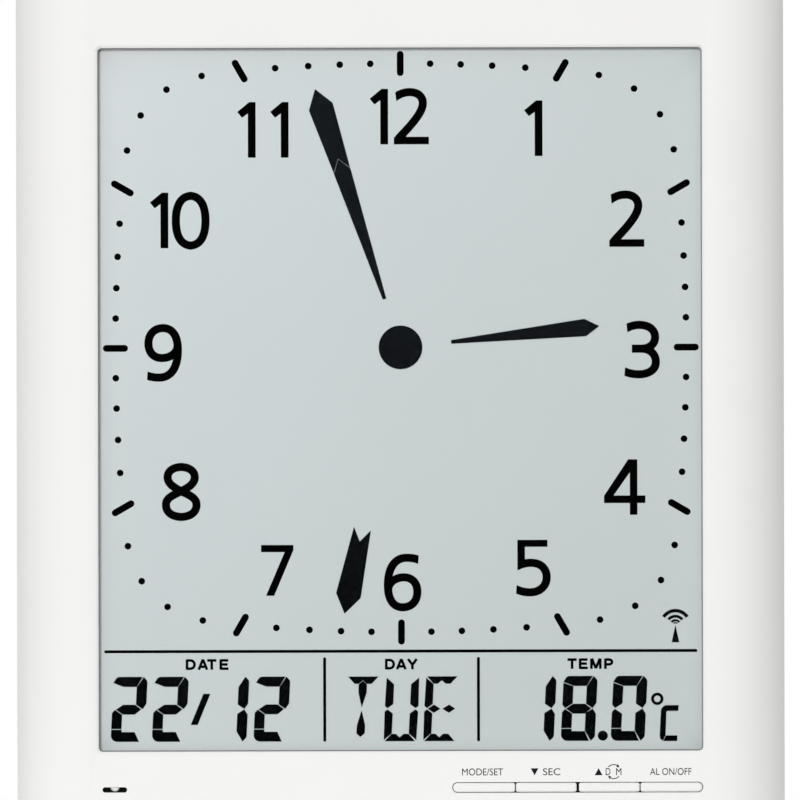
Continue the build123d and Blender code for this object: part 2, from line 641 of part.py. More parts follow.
def main_board():
    board = Pos(0, BOARD_MID) * Rectangle(BOARD_WIDTH, BOARD_HEIGHT)
    return slab(board - copies(BOARD_POINTS, peg(SMALL_SCREW + SCREW_FIT)), BOARD_REAR_Y, BOARD_FRONT_Y)


def resin_blob(radius, height, x, y, z):
    """Low blob with sloping sides that stands on depth y towards the wall."""
    blob = slab(Pos(x, z) * peg(radius, 16), y + height, y)
    return chamfer(blob.faces().sort_by(Axis.Y)[-1].edges(), 0.8 * height)


def clock_crystal():
    start = CRYSTAL_OFFSET
    return bar_x(CRYSTAL_RADIUS, start, start + CRYSTAL_LENGTH, BOARD_REAR_Y + CRYSTAL_RADIUS, BOARD_MID)


def cap_spans():
    """Left and right end of each of the four caps."""
    quarter, left = BANK_LENGTH / 4, BANK_X - BANK_LENGTH / 2
    gaps = [0, CAP_GAP / 2, MIDDLE_GAP / 2, CAP_GAP / 2, 0]
    return [(left + i * quarter + gaps[i], left + (i + 1) * quarter - gaps[i + 1]) for i in range(4)]


CAP_SPANS = cap_spans()
CAP_CENTRES = [(left + right) / 2 for left, right in CAP_SPANS]


def button(index):
    """Cap with a retaining flange behind the wall and a stem to its switch."""
    left, right = CAP_SPANS[index]
    centre = CAP_CENTRES[index]
    bank = Pos(BANK_X, BUTTON_Z) * SlotOverall(BANK_LENGTH, BUTTON_HEIGHT)
    face = bank & Pos(centre, BUTTON_Z) * Rectangle(right - left, BUTTON_HEIGHT)
    ends = [x for x, joined in ((left, index > 0), (right, index < 3)) if joined]
    corners = face.vertices().filter_by(lambda v: min(abs(v.X - x) for x in ends) < 0.01)
    cap = slab(chamfer(corners, CAP_CORNER), INNER_Y, FRONT_Y - CAP_PROUD)
    cap = chamfer(cap.faces().sort_by(Axis.Y)[0].edges(), CAP_CHAMFER)
    margin = BUTTON_HEIGHT / 2
    flange_rear = INNER_Y + FLANGE_THICKNESS
    flange_height = BUTTON_HEIGHT + 2 * (BUTTON_GAP + FLANGE_OVERLAP)
    cap += block((left + margin, right - margin), (INNER_Y, flange_rear), around(BUTTON_Z, flange_height))
    return cap + block(around(centre, STEM_WIDTH), (flange_rear, PLUNGER_Y), around(BUTTON_Z, STEM_HEIGHT))


def plunger(index):
    tail = SWITCH_Y + CAP_TRAVEL + PLUNGER_TAIL
    square = (around(CAP_CENTRES[index], PLUNGER_WIDTH), around(BUTTON_Z, PLUNGER_WIDTH))
    return block(square[0], (PLUNGER_Y, tail), square[1])


def tact_switches():
    well = PLUNGER_WIDTH + 2 * PLUNGER_FIT
    floor = SWITCH_Y + 2 * CAP_TRAVEL + PLUNGER_ROOM
    bodies = []
    for x in CAP_CENTRES:
        body = block(around(x, SWITCH_WIDTH), (SWITCH_Y, BOARD_FRONT_Y), around(BUTTON_Z, SWITCH_HEIGHT))
        bodies.append(body - block(around(x, well), (SWITCH_Y - OVERCUT, floor), around(BUTTON_Z, well)))
    return group(bodies)


def temperature_sensor():
    """Bead on two legs, half of it in view below the slot's upper edge."""
    z = SENSOR_Z + SENSOR_SLOT_HEIGHT / 2
    y = FRONT_Y + SENSOR_SKIN + SENSOR_AIR + SENSOR_RADIUS
    bead = slab(Pos(SENSOR_X, z) * peg(SENSOR_RADIUS, 16), *reversed(around(y, 2 * SENSOR_RADIUS)))
    sensor = chamfer(bead.faces().filter_by(Axis.Y).edges(), SENSOR_RADIUS / 2)
    for x in around(SENSOR_X, SENSOR_PITCH):
        sensor += block(around(x, SENSOR_LEG), (y, BOARD_FRONT_Y), around(z, SENSOR_LEG))
    return sensor


def ferrite_rod():
    return bar_x(ROD_RADIUS, -ROD_LENGTH / 2, ROD_LENGTH / 2, ROD_Y, ROD_Z)


def antenna_coil():
    start, end = around(COIL_X, COIL_LENGTH)
    bore = bar_x(ROD_RADIUS, start - OVERCUT, end + OVERCUT, ROD_Y, ROD_Z)
    return bar_x(COIL_RADIUS, start, end, ROD_Y, ROD_Z) - bore


def antenna_leads():
    bottom = ROD_Z - COIL_RADIUS
    ends = around(COIL_X, COIL_LENGTH / 2)
    return group(wire_run([(x, ROD_Y, bottom), (x, ROD_Y, RECEIVER_TOP)], lead(COIL_LEAD)) for x in ends)


def receiver_board():
    board = Pos(RECEIVER_X, RECEIVER_MID) * Rectangle(RECEIVER_WIDTH, RECEIVER_HEIGHT)
    return slab(board - copies(POST_POINTS, peg(POST_PIN)), RECEIVER_REAR_Y, RECEIVER_FRONT_Y)


def receiver_ribbon():
    """Flat three-way cable from the receiver down to the main board."""
    x = RECEIVER_X - RECEIVER_WIDTH / 2 + RIBBON_INSET
    bottom = RECEIVER_TOP - RECEIVER_HEIGHT
    run = [(x, ROD_Y, bottom), (x, ROD_Y, LEAD_END), (x, BOARD_REAR_Y, LEAD_END)]
    return wire_run(run, Rectangle(RIBBON_WIDTH, 2 * LEAD_RADIUS))


def disc(radius, rear, front):
    return slab(Pos(SOUNDER_X, BAY_MID) * Circle(radius), rear, front)


def buzzer_leads():
    """One wire lies on the brass plate, the other on the ceramic."""
    runs = []
    for x, face, start in (
        (SOUNDER_X - LEAD_PITCH, PLATE_Y, (SOUNDER_RADIUS + CERAMIC_RADIUS) / 2),
        (SOUNDER_X + LEAD_PITCH, CERAMIC_Y, CERAMIC_RADIUS / 2),
    ):
        y = face - LEAD_RADIUS
        run = [(x, y, BAY_MID - start), (x, y, LEAD_END), (x, BOARD_REAR_Y, LEAD_END)]
        runs.append(wire_run(run, lead()))
    return group(runs)


def cover_tray():
    """Shallow tray with a locating lip and the screw wells."""
    outline = rounded(CASE_WIDTH, CASE_HEIGHT, EDGE_RADIUS, CASE_MID)
    tray = slab(outline, 0, SPLIT_Y)
    tray = chamfer(tray.faces().sort_by(Axis.Y)[-1].edges(), REAR_CHAMFER)
    step = 2 * (WALL + LIP_GAP)
    lip = trimmed(CASE_WIDTH - step, CASE_HEIGHT - step, CORNER_CUT, CASE_MID)
    tray += slab(lip, SPLIT_Y, SPLIT_Y - LIP_HEIGHT)
    step += 2 * LIP_THICKNESS
    hollow = trimmed(CASE_WIDTH - step, CASE_HEIGHT - step, CORNER_CUT, CASE_MID)
    tray -= slab(hollow, -WALL, SPLIT_Y - LIP_HEIGHT - OVERCUT)
    head = CASE_HEAD + WELL_ROOM
    wells = slab(copies(CASE_POINTS, peg(head + WELL_WALL, 12)), -WALL / 2, WELL_END_Y)
    tray += wells & slab(outline, 0, SPLIT_Y)
    tray -= slab(copies(CASE_POINTS, peg(head, 16)), OVERCUT, -WELL_DEPTH)
    return tray - slab(copies(CASE_POINTS, peg(CASE_SCREW + SCREW_PASS)), 0, WELL_END_Y - OVERCUT)


def hanger(tray):
    """Keyhole over a closed pocket that takes the wall screw's head."""
    half = HOLE_RADIUS + POCKET_ROOM
    width, height, middle = 2 * half, SLOT_RISE + 2 * half, SLOT_RISE / 2
    box = trimmed(width + 2 * POCKET_WALL, height + 2 * POCKET_WALL, POCKET_CUT, middle)
    floor = -(WALL + POCKET_DEPTH)
    tray += slab(box, -WALL / 2, floor - POCKET_WALL)
    tray -= slab(Pos(0, middle) * Rectangle(width, height), -WALL, floor)
    keyhole = Circle(HOLE_RADIUS) + Pos(0, SLOT_RISE) * Circle(SLOT_RADIUS)
    keyhole += Pos(0, middle) * Rectangle(2 * SLOT_RADIUS, SLOT_RISE)
    return tray - slab(keyhole, OVERCUT, -WALL - OVERCUT)


def battery_bay(tray):
    """Tub for two cells with a doorway, hinge sockets, a finger scoop and slots for two tabs."""
    spot = Pos(0, BAY_MID)
    tub = spot * Rectangle(BAY_LENGTH + 2 * BAY_WALL, BAY_HEIGHT + 2 * BAY_WALL)
    edge = 2 * (DOOR_GAP + BAY_WALL)
    rim = spot * Rectangle(DOOR_WIDTH + edge, DOOR_HEIGHT + edge)
    tray += slab(tub, -WALL, BAY_FRONT_Y) + slab(rim, -WALL / 2, -WALL - BAY_WALL)
    tray -= slab(spot * Rectangle(BAY_LENGTH, BAY_HEIGHT), OVERCUT, BAY_FLOOR_Y)
    doorway = spot * Rectangle(DOOR_WIDTH + 2 * DOOR_GAP, DOOR_HEIGHT + 2 * DOOR_GAP)
    lower = doorway.vertices().filter_by(lambda v: v.Y < BAY_MID)
    tray -= slab(fillet(lower, DOOR_CORNER), OVERCUT, -WALL)
    reach = DOOR_WIDTH / 2 + PIN_LENGTH + PIN_ROOM
    tray -= bar_x(PIN_RADIUS + PIN_FIT, -reach, reach, HINGE_Y, HINGE_Z)
    scoop = Pos(0, DOOR_BOTTOM - DOOR_GAP) * SlotOverall(LATCH_WIDTH, LATCH_WIDTH / 2)
    tray -= slab(scoop, OVERCUT, -SCOOP_DEPTH)
    through = (BAY_HALF - BAY_WALL, BAY_HALF + 2 * BAY_WALL)
    for y, z in ((PLUS_TAB_Y, UPPER_CELL_Z), (MINUS_TAB_Y, LOWER_CELL_Z)):
        slot = around(y, TAB_WIDTH + 2 * TAB_FIT), around(z, CONTACT_THICKNESS + 2 * TAB_FIT)
        tray -= block(through, *slot)
    return tray


def sounder_seat(tray):
    """Ring that takes the brass plate, over a chamber with a ring of sound holes."""
    ring = SOUNDER_RADIUS + SOUNDER_FIT
    tray += disc(ring + SOUNDER_RING, -WALL / 2, PLATE_Y)
    tray -= disc(ring, SOUNDER_Y, PLATE_Y - OVERCUT)
    tray -= disc(SOUNDER_RADIUS - SOUNDER_LEDGE, -WALL, SOUNDER_Y - OVERCUT)
    holes = [(0, 0)] + [(SOUND_PITCH * cos(k * pi / 3), SOUND_PITCH * sin(k * pi / 3)) for k in range(6)]
    grille = Pos(SOUNDER_X, BAY_MID) * copies(holes, peg(SOUND_HOLE, 12))
    return tray - slab(grille, OVERCUT, -WALL - OVERCUT)


def radio_seat(tray):
    """Two saddles under the rod and two staked posts for the receiver."""
    for x in (-SADDLE_X, SADDLE_X):
        tray += block(around(x, SADDLE_WIDTH), (ROD_Y, -WALL / 2), around(ROD_Z, SADDLE_HEIGHT))
    tray -= bar_x(ROD_RADIUS, -ROD_LENGTH, ROD_LENGTH, ROD_Y, ROD_Z)
    tray += slab(copies(POST_POINTS, peg(POST_RADIUS)), -WALL / 2, RECEIVER_REAR_Y)
    return tray + slab(copies(POST_POINTS, peg(POST_PIN)), RECEIVER_REAR_Y, RECEIVER_FRONT_Y - PIN_STAKE)


def rear_cover():
    return radio_seat(sounder_seat(battery_bay(hanger(cover_tray()))))


def battery_door():
    """Flush door on two pins at its upper edge, with a sprung latch tongue at the lower edge."""
    low, high = DOOR_BOTTOM, HINGE_Z
    plate = Pos(0, (low + high) / 2) * Rectangle(DOOR_WIDTH, high - low)
    plate = fillet(plate.vertices().filter_by(lambda v: v.Y < BAY_MID), DOOR_CORNER)
    slit = Rectangle(LATCH_SLIT, LATCH_LENGTH)
    plate -= copies([(x, low + LATCH_LENGTH / 2) for x in around(0, LATCH_WIDTH - LATCH_SLIT)], slit)
    door = slab(plate, 0, -WALL)
    door += bar_x(WALL / 2, -DOOR_WIDTH / 2, DOOR_WIDTH / 2, HINGE_Y, HINGE_Z)
    reach = DOOR_WIDTH / 2 + PIN_LENGTH
    door += bar_x(PIN_RADIUS, -reach, reach, HINGE_Y, HINGE_Z)
    tongue = around(0, LATCH_WIDTH - 4 * LATCH_SLIT)
    door += block(tongue, (-WALL, -WALL / 2), (low - LATCH_NIB, low + LATCH_SLIT))
    for i in range(3):
        groove = low + GRIP_START + GRIP_PITCH * i
        door -= block(tongue, (-GRIP_DEPTH, OVERCUT), (groove, groove + GRIP_WIDTH))
    return door


def cell(z, side):
    """Round cell along x; its nub points to the side given."""
    half = CELL_LENGTH / 2
    shoulder = side * (half - NUB_LENGTH)
    can = bar_x(CELL_DIAMETER / 2, *sorted((-side * half, shoulder)), CELL_Y, z)
    top = can.edges().filter_by(lambda e: abs(e.center().X - shoulder) < 0.01)
    can = chamfer(top, CELL_SHOULDER)
    return can + bar_x(NUB_RADIUS, *sorted((shoulder - side * CELL_SHOULDER, side * half)), CELL_Y, z)


def batteries():
    return group([cell(UPPER_CELL_Z, 1), cell(LOWER_CELL_Z, -1)])


def contact_plate(side, low, high):
    """Metal strip that stands against an end wall of the bay, past two cell axes."""
    wall = side * BAY_HALF
    span = sorted((wall, wall - side * CONTACT_THICKNESS))
    edge = CONTACT_WIDTH / 2
    return block(span, around(CELL_Y, CONTACT_WIDTH), (low - edge, high + edge))


def contact_button(side, z):
    """Raised seat that meets a cell's nub."""
    start, end = side * (BAY_HALF - CONTACT_THICKNESS / 2), side * CELL_LENGTH / 2
    return bar_x(NUB_RADIUS, *sorted((start, end)), CELL_Y, z)


def contact_leaf(side, z):
    """Strip bent to a blunt V that presses on a cell's flat end."""
    root, tip = side * (BAY_HALF - CONTACT_THICKNESS / 2), side * CELL_LENGTH / 2
    back = tip + side * CONTACT_THICKNESS
    span, flat, foot = LEAF_SPAN / 2, LEAF_FLAT / 2, LEAF_SPAN / 2 - LEAF_FOOT
    outside = [(root, -span), (tip, -flat), (tip, flat), (root, span)]
    inside = [(root, foot), (back, flat), (back, -flat), (root, -foot)]
    face = make_face(Polyline(*outside, *inside, close=True))
    return extrude(Pos(0, CELL_Y, z - LEAF_WIDTH / 2) * face, amount=LEAF_WIDTH, dir=(0, 0, 1))


def contact_tab(y, z):
    """Solder tab through the bay's end wall."""
    end = BAY_HALF + BAY_WALL + TAB_LENGTH
    start = BAY_HALF - CONTACT_THICKNESS / 2
    return block((start, end), around(y, TAB_WIDTH), around(z, CONTACT_THICKNESS))


def contact_plus():
    plate = contact_plate(1, UPPER_CELL_Z, UPPER_CELL_Z)
    return plate + contact_button(1, UPPER_CELL_Z) + contact_tab(PLUS_TAB_Y, UPPER_CELL_Z)


def contact_minus():
    plate = contact_plate(1, LOWER_CELL_Z, LOWER_CELL_Z)
    return plate + contact_leaf(1, LOWER_CELL_Z) + contact_tab(MINUS_TAB_Y, LOWER_CELL_Z)


def contact_link():
    plate = contact_plate(-1, LOWER_CELL_Z, UPPER_CELL_Z)
    return plate + contact_button(-1, LOWER_CELL_Z) + contact_leaf(-1, UPPER_CELL_Z)


def battery_lead(y, z, end):
    """Wire from a solder tab down to the board."""
    x = BAY_HALF + BAY_WALL + TAB_LENGTH / 2
    run = [(x, y, z - CONTACT_THICKNESS / 2), (x, y, end), (x, BOARD_REAR_Y, end)]
    return wire_run(run, lead(), bend=BATTERY_BEND)


def pieces():
    glass_low = WINDOW_BOTTOM - GLASS_OVERLAP
    made = {
        "front_housing": front_housing(),
        "window_gasket": window_gasket(),
        "display_window": display_window(),
        "dial_marks": dial_marks(),
        "lcd_front_film": film(FILM_Y, MARK_Y),
        "lcd_front_glass": slab(glass_outline(GLASS_BOTTOM), CELL_FRONT_Y, FILM_Y),
        "lcd_seal": lcd_seal(),
        "lcd_segments": lcd_segments(),
        "lcd_rear_glass": slab(glass_outline(glass_low), REAR_GLASS_Y, CELL_REAR_Y),
        "lcd_reflector": film(FRAME_FRONT_Y, REAR_GLASS_Y),
        "lcd_frame": lcd_frame(),
        "lcd_connector_strips": lcd_connector_strips(),
        "lcd_frame_screws": small_screws(EAR_POINTS, FRAME_REAR_Y),
        "main_board": main_board(),
        "board_screws": small_screws(BOARD_POINTS, BOARD_REAR_Y),
        "controller_chip": resin_blob(CHIP_RADIUS, CHIP_HEIGHT, 0, BOARD_REAR_Y, BOARD_MID),
        "clock_crystal": clock_crystal(),
        "tact_switches": tact_switches(),
        "temperature_sensor": temperature_sensor(),
        "ferrite_rod": ferrite_rod(),
        "antenna_coil": antenna_coil(),
        "antenna_leads": antenna_leads(),
        "receiver_board": receiver_board(),
        "receiver_chip": resin_blob(
            RECEIVER_CHIP_RADIUS, RECEIVER_CHIP_HEIGHT, RECEIVER_X, RECEIVER_REAR_Y, RECEIVER_MID
        ),
        "receiver_ribbon": receiver_ribbon(),
        "buzzer_plate": disc(SOUNDER_RADIUS, SOUNDER_Y, PLATE_Y),
        "buzzer_ceramic": disc(CERAMIC_RADIUS, PLATE_Y, CERAMIC_Y),
        "buzzer_leads": buzzer_leads(),
        "rear_cover": rear_cover(),
        "battery_door": battery_door(),
        "batteries": batteries(),
        "contact_plus": contact_plus(),
        "contact_minus": contact_minus(),
        "contact_link": contact_link(),
        "battery_lead_plus": battery_lead(PLUS_TAB_Y, UPPER_CELL_Z, LEAD_END - BATTERY_STAGGER),
        "battery_lead_minus": battery_lead(MINUS_TAB_Y, LOWER_CELL_Z, LEAD_END),
        "case_screws": case_screws(),
    }
    for index, name in enumerate(("mode", "down", "up", "alarm")):
        made["button_" + name] = button(index)
        made["plunger_" + name] = plunger(index)
    return made


os.makedirs("parts", exist_ok=True)
for name, shape in pieces().items():
    export_step(shape, "parts/" + name + ".step")
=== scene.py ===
import json
from math import cos, pi, radians, sin, sqrt

import bmesh
import bpy
import numpy as np
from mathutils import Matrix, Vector


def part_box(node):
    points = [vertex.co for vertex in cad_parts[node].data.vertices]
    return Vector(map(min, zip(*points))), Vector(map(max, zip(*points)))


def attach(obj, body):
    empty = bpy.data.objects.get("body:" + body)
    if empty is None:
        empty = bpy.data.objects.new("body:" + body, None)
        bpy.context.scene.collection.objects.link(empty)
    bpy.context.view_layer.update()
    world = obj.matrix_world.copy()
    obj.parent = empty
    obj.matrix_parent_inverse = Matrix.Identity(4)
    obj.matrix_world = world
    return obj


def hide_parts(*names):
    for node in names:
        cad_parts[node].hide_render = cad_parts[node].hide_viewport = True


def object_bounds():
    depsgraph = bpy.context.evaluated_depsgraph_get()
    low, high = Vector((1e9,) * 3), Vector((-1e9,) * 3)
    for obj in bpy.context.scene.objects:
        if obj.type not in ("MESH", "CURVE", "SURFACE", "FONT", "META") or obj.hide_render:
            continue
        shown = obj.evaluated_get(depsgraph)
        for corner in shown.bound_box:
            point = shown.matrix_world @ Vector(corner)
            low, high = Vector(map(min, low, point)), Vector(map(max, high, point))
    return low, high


# Dressed wall clock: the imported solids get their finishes, and the print, the display's segments and
# the smooth mouldings are laid on them. Metres; x to the right, y to the wall, z up; front faces -y.

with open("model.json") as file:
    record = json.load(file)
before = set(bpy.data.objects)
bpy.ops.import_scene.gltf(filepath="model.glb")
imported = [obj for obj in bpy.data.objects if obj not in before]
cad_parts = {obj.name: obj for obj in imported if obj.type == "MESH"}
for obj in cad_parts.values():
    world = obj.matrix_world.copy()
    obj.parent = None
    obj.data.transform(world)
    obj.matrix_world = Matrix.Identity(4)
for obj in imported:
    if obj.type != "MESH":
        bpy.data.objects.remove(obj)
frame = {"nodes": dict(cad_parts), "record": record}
cad_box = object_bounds()
NODES = frame["nodes"]
MM = 0.001
SLOTS = {part["node"]: part["material_slot"] for part in frame["record"]["subparts"]}

# Places read from the frame
FRONT_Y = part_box("front_housing")[0].y
PANE_LOW, PANE_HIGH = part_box("display_window")
INK_FRONT, INK_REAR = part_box("dial_marks")[0].y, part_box("dial_marks")[1].y
LAYER_FRONT, LAYER_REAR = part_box("lcd_segments")[0].y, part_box("lcd_segments")[1].y
PANE_OVERLAP = 2.5 * MM          # how far the pane reaches past the window's edge
WINDOW_TOP = PANE_HIGH.z - PANE_OVERLAP
WINDOW_BOTTOM = PANE_LOW.z + PANE_OVERLAP
WINDOW_HALF = PANE_HIGH.x - PANE_OVERLAP
DIAL_DROP = 89.9 * MM            # from the window's top to the middle of the dial
DIAL_Z = WINDOW_TOP - DIAL_DROP
KEYS = ("mode", "down", "up", "alarm")
BUTTON_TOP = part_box("button_mode")[1].z

# Photograph's view
VIEW_WIDTH = 240.0 * MM          # width of the frame at the case's front
VIEW_X = -0.075 * MM
VIEW_Z = -94.0 * MM
VIEW_ROLL = radians(0.13)
CAMERA_DISTANCE = 3.0
SENSOR_WIDTH = 36.0


# Shader values

class Shade:
    """One output socket of a material; arithmetic on it adds Math nodes to the same tree."""

    def __init__(self, tree, socket):
        self.tree = tree
        self.socket = socket

    def node(self, kind, settings=None, values=None, output=0):
        """Adds any other node: its settings first, then values or links for its sockets."""
        made = self.tree.nodes.new(kind)
        for name, value in (settings or {}).items():
            setattr(made, name, value)
        for name, value in (values or {}).items():
            feed(self.tree, made.inputs[name], value)
        return Shade(self.tree, made.outputs[output])

    def math(self, operation, first, second=0.0, clamp=False):
        settings = {"operation": operation, "use_clamp": clamp}
        return self.node("ShaderNodeMath", settings, {0: first, 1: second})

    def __add__(self, other):
        return self.math("ADD", self, other)

    def __radd__(self, other):
        return self.math("ADD", other, self)

    def __sub__(self, other):
        return self.math("SUBTRACT", self, other)

    def __rsub__(self, other):
        return self.math("SUBTRACT", other, self)

    def __mul__(self, other):
        return self.math("MULTIPLY", self, other)

    def __rmul__(self, other):
        return self.math("MULTIPLY", other, self)

    def __truediv__(self, other):
        return self.math("DIVIDE", self, other)

    def __pow__(self, other):
        return self.math("POWER", self, other)

    def clamp(self):
        return self.math("ADD", self, 0.0, clamp=True)

    def over(self, edge):
        """1 where the value is above an edge."""
        return self.math("GREATER_THAN", self, edge)

    def mix(self, low, high):
        """Colour between two colours, by this value."""
        values = {0: self, 6: low, 7: high}
        return self.node("ShaderNodeMix", {"data_type": "RGBA"}, values, 2)

    def axis(self, name):
        """One coordinate of a place."""
        return self.node("ShaderNodeSeparateXYZ", None, {"Vector": self}, name)

    def noise(self, scale, detail=2.0):
        """Cloudy value from 0 to 1 with blotches of about 1 / scale metres."""
        values = {"Vector": self, "Scale": scale, "Detail": detail}
        return self.node("ShaderNodeTexNoise", None, values, "Fac")

    def bump(self, strength, depth):
        """Normal pushed by this value as a height."""
        values = {"Height": self, "Strength": strength, "Distance": depth}
        return self.node("ShaderNodeBump", None, values, "Normal")


def feed(tree, socket, value):
    """Links a shader value to a socket, or sets a plain number or colour on it."""
    if isinstance(value, Shade):
        tree.links.new(value.socket, socket)
    elif isinstance(value, tuple) and len(value) == 3 and socket.type == "RGBA":
        socket.default_value = (*value, 1.0)
    else:
        socket.default_value = value


def material(name):
    """New material: returns it, its surface coordinates and a function that feeds its shader."""
    made = bpy.data.materials.new(name)
    made.use_nodes = True
    tree = made.node_tree
    surface = tree.nodes["Principled BSDF"]
    coords = tree.nodes.new("ShaderNodeTexCoord")
    place = Shade(tree, coords.outputs["Object"])

    def wear(**values):
        for key, value in values.items():
            feed(tree, surface.inputs[key.replace("_", " ")], value)

    return made, place, wear


def shifted(colour, factor):
    """A colour made lighter or darker."""
    return tuple(min(1.0, part * factor) for part in colour)


# Finishes

PAINTED_RIM_LIGHT_FADE = 3.9 * MM              # how far in from the window's edge the ground is painted paler, against the lip's shade
PAINTED_RIM_LIGHT = 1.26
GROUND_PAINTED_SHADE_POWER = 0.4                # power of the way from upper left to lower right by which it darkens: painted shade, away from the light
SEGMENT_PAINTED_SHADE_POWER = 1.4               # power of the way down by which the segments darken: painted shade, paler at the top where more light falls
JACKET_BAND = 14.5 * MM          # x from which a battery's sleeve is pale
JACKET_END = 24.7 * MM           # distance from the middle from which a battery is bare steel


def moulded(name, colour, rough=0.42, grain=2600.0, depth=0.00002, strength=0.12, gloss=0.5):
    """Injection-moulded plastic: faint cloudy tone, satin gloss and a fine eroded grain."""
    made, place, wear = material(name)
    cloud = place.noise(28.0, 3.0)
    fine = place.noise(grain, 2.0)
    wear(
        Base_Color=cloud.mix(shifted(colour, 0.985), shifted(colour, 1.015)),
        Roughness=rough + 0.10 * (cloud - 0.5) + 0.06 * (fine - 0.5),
        Normal=fine.bump(strength, depth),
        Specular_IOR_Level=gloss,
        IOR=1.49,
    )
    return made


def rubber(name, colour):
    """Foam or elastomer: dull, with open pores."""
    made, place, wear = material(name)
    pores = place.noise(3200.0, 3.0)
    wear(
        Base_Color=pores.mix(shifted(colour, 0.7), shifted(colour, 1.4)),
        Roughness=0.82 + 0.15 * (pores - 0.5),
        Normal=pores.bump(0.4, 0.0001),
    )
    return made


def metal(name, colour, rough, stretch=(1.0, 1.0, 1.0), scale=900.0):
    """Bare metal: rolling or turning marks stretched along one axis, and dull patches."""
    made, place, wear = material(name)
    drawn = place.node("ShaderNodeVectorMath", {"operation": "MULTIPLY"}, {0: place, 1: stretch})
    marks = drawn.noise(scale, 3.0)
    patches = place.noise(140.0, 2.0)
    wear(
        Base_Color=patches.mix(shifted(colour, 0.86), shifted(colour, 1.08)),
        Metallic=1.0,
        Roughness=rough + 0.16 * (marks - 0.5) + 0.10 * (patches - 0.5),
        Normal=marks.bump(0.15, 0.00003),
    )
    return made


def clear_sheet(name, tint, body, edge):
    """Clear sheet: nearly open face on, with more gloss at a slant."""
    made, place, wear = material(name)
    slant = place.node("ShaderNodeLayerWeight", None, {"Blend": 0.5}, "Facing")
    smear = place.noise(35.0, 2.0)
    wear(
        Base_Color=tint,
        Alpha=body + edge * slant ** 4.0,
        Roughness=0.03 + 0.03 * smear,
        IOR=1.49,
    )
    return made


def printed(name, colour, gloss=0.03):
    """Screen-printed ink: dense, dull, with a slight mottle."""
    made, place, wear = material(name)
    mottle = place.noise(900.0, 2.0)
    wear(
        Base_Color=mottle.mix(shifted(colour, 0.8), shifted(colour, 1.2)),
        Roughness=0.75 + 0.1 * (mottle - 0.5),
        Specular_IOR_Level=gloss,
    )
    return made


def switched_on(name, top_colour, bottom_colour):
    """Display segments that are switched on, with painted light: slate at the window's top, nearly black at
    its bottom.
    """
    made, place, wear = material(name)
    mottle = place.noise(900.0, 2.0)
    # painted shade: the segments darken from the window's top downwards
    down = ((WINDOW_TOP - place.axis("Z")) / (WINDOW_TOP - WINDOW_BOTTOM)).clamp() ** SEGMENT_PAINTED_SHADE_POWER
    dull = down.mix(shifted(top_colour, 0.8), shifted(bottom_colour, 0.8))
    strong = down.mix(shifted(top_colour, 1.2), shifted(bottom_colour, 1.2))
    wear(
        Base_Color=mottle.mix(dull, strong),
        Roughness=0.75 + 0.1 * (mottle - 0.5),
        Specular_IOR_Level=0.03,
    )
    return made


def display_ground(name):
    """Grey-green ground with a fine grain; painted light makes it paler at the upper left and along its
    rim.
    """
    made, place, wear = material(name)
    x, z = place.axis("X"), place.axis("Z")
    tall = WINDOW_TOP - WINDOW_BOTTOM
    across = (x + WINDOW_HALF) / (2 * WINDOW_HALF)
    down = (WINDOW_TOP - z) / tall
    # painted shade: darker from the upper left, where the light comes from, to the lower right
    shade = (0.5 * across + 0.5 * down).clamp() ** GROUND_PAINTED_SHADE_POWER
    beside = WINDOW_HALF - place.math("ABSOLUTE", x)
    within = tall / 2 - place.math("ABSOLUTE", z - (WINDOW_TOP + WINDOW_BOTTOM) / 2)
    # painted light: the ground is lifted near the window's edge, against the shade the lip casts there
    rim = place.math("EXPONENT", place.math("MINIMUM", beside, within) * (-1 / PAINTED_RIM_LIGHT_FADE)).clamp()
    grain = place.noise(1500.0, 2.0)
    cloud = place.noise(14.0, 2.0)
    pale, deep = (0.839, 0.919, 0.945), (0.654, 0.715, 0.711)
    # painted light: towards the rim the tone mixes to lifted copies of both colours
    tone = rim.mix(shade.mix(pale, deep), shade.mix(shifted(pale, PAINTED_RIM_LIGHT), shifted(deep, PAINTED_RIM_LIGHT)))
    level = (0.5 + 0.5 * (grain - 0.5) + 0.8 * (cloud - 0.5)).clamp()
    veil = level.mix((0.965, 0.965, 0.965), (1.0, 1.0, 1.0))
    toned = place.node("ShaderNodeMix", {"data_type": "RGBA", "blend_type": "MULTIPLY"},
                       {0: 1.0, 6: tone, 7: veil}, 2)
    wear(Base_Color=toned, Roughness=0.7 + 0.1 * (grain - 0.5), Specular_IOR_Level=0.1)
    return made


def circuit_board(name):
    """Green solder mask over faint copper tracks."""
    made, place, wear = material(name)
    turned = place.node("ShaderNodeMapping", None, {"Vector": place, "Rotation": (pi / 2, 0.0, 0.0)})
    bricks = {
        "Vector": turned,
        "Scale": 60.0,
        "Color1": (0.006, 0.045, 0.020),
        "Color2": (0.009, 0.060, 0.027),
        "Mortar": (0.030, 0.100, 0.045),
        "Mortar Size": 0.012,
    }
    tracks = place.node("ShaderNodeTexBrick", None, bricks, "Color")
    fine = place.noise(1800.0)
    wear(Base_Color=tracks, Roughness=0.35 + 0.15 * fine, Normal=fine.bump(0.1, 0.00003))
    return made


def striped(name, dark, light, axis, pitch, rough, metallic=0.0):
    """Fine layers or turns across one axis: a winding, a layered strip."""
    made, place, wear = material(name)
    turns = place.axis(axis) * (2 * pi / pitch)
    wave = 0.5 + 0.5 * place.math("SINE", turns)
    grain = place.noise(700.0)
    wear(
        Base_Color=wave.mix(dark, light),
        Metallic=metallic,
        Roughness=rough + 0.2 * (grain - 0.5),
        Normal=wave.bump(0.6, pitch / 4),
    )
    return made


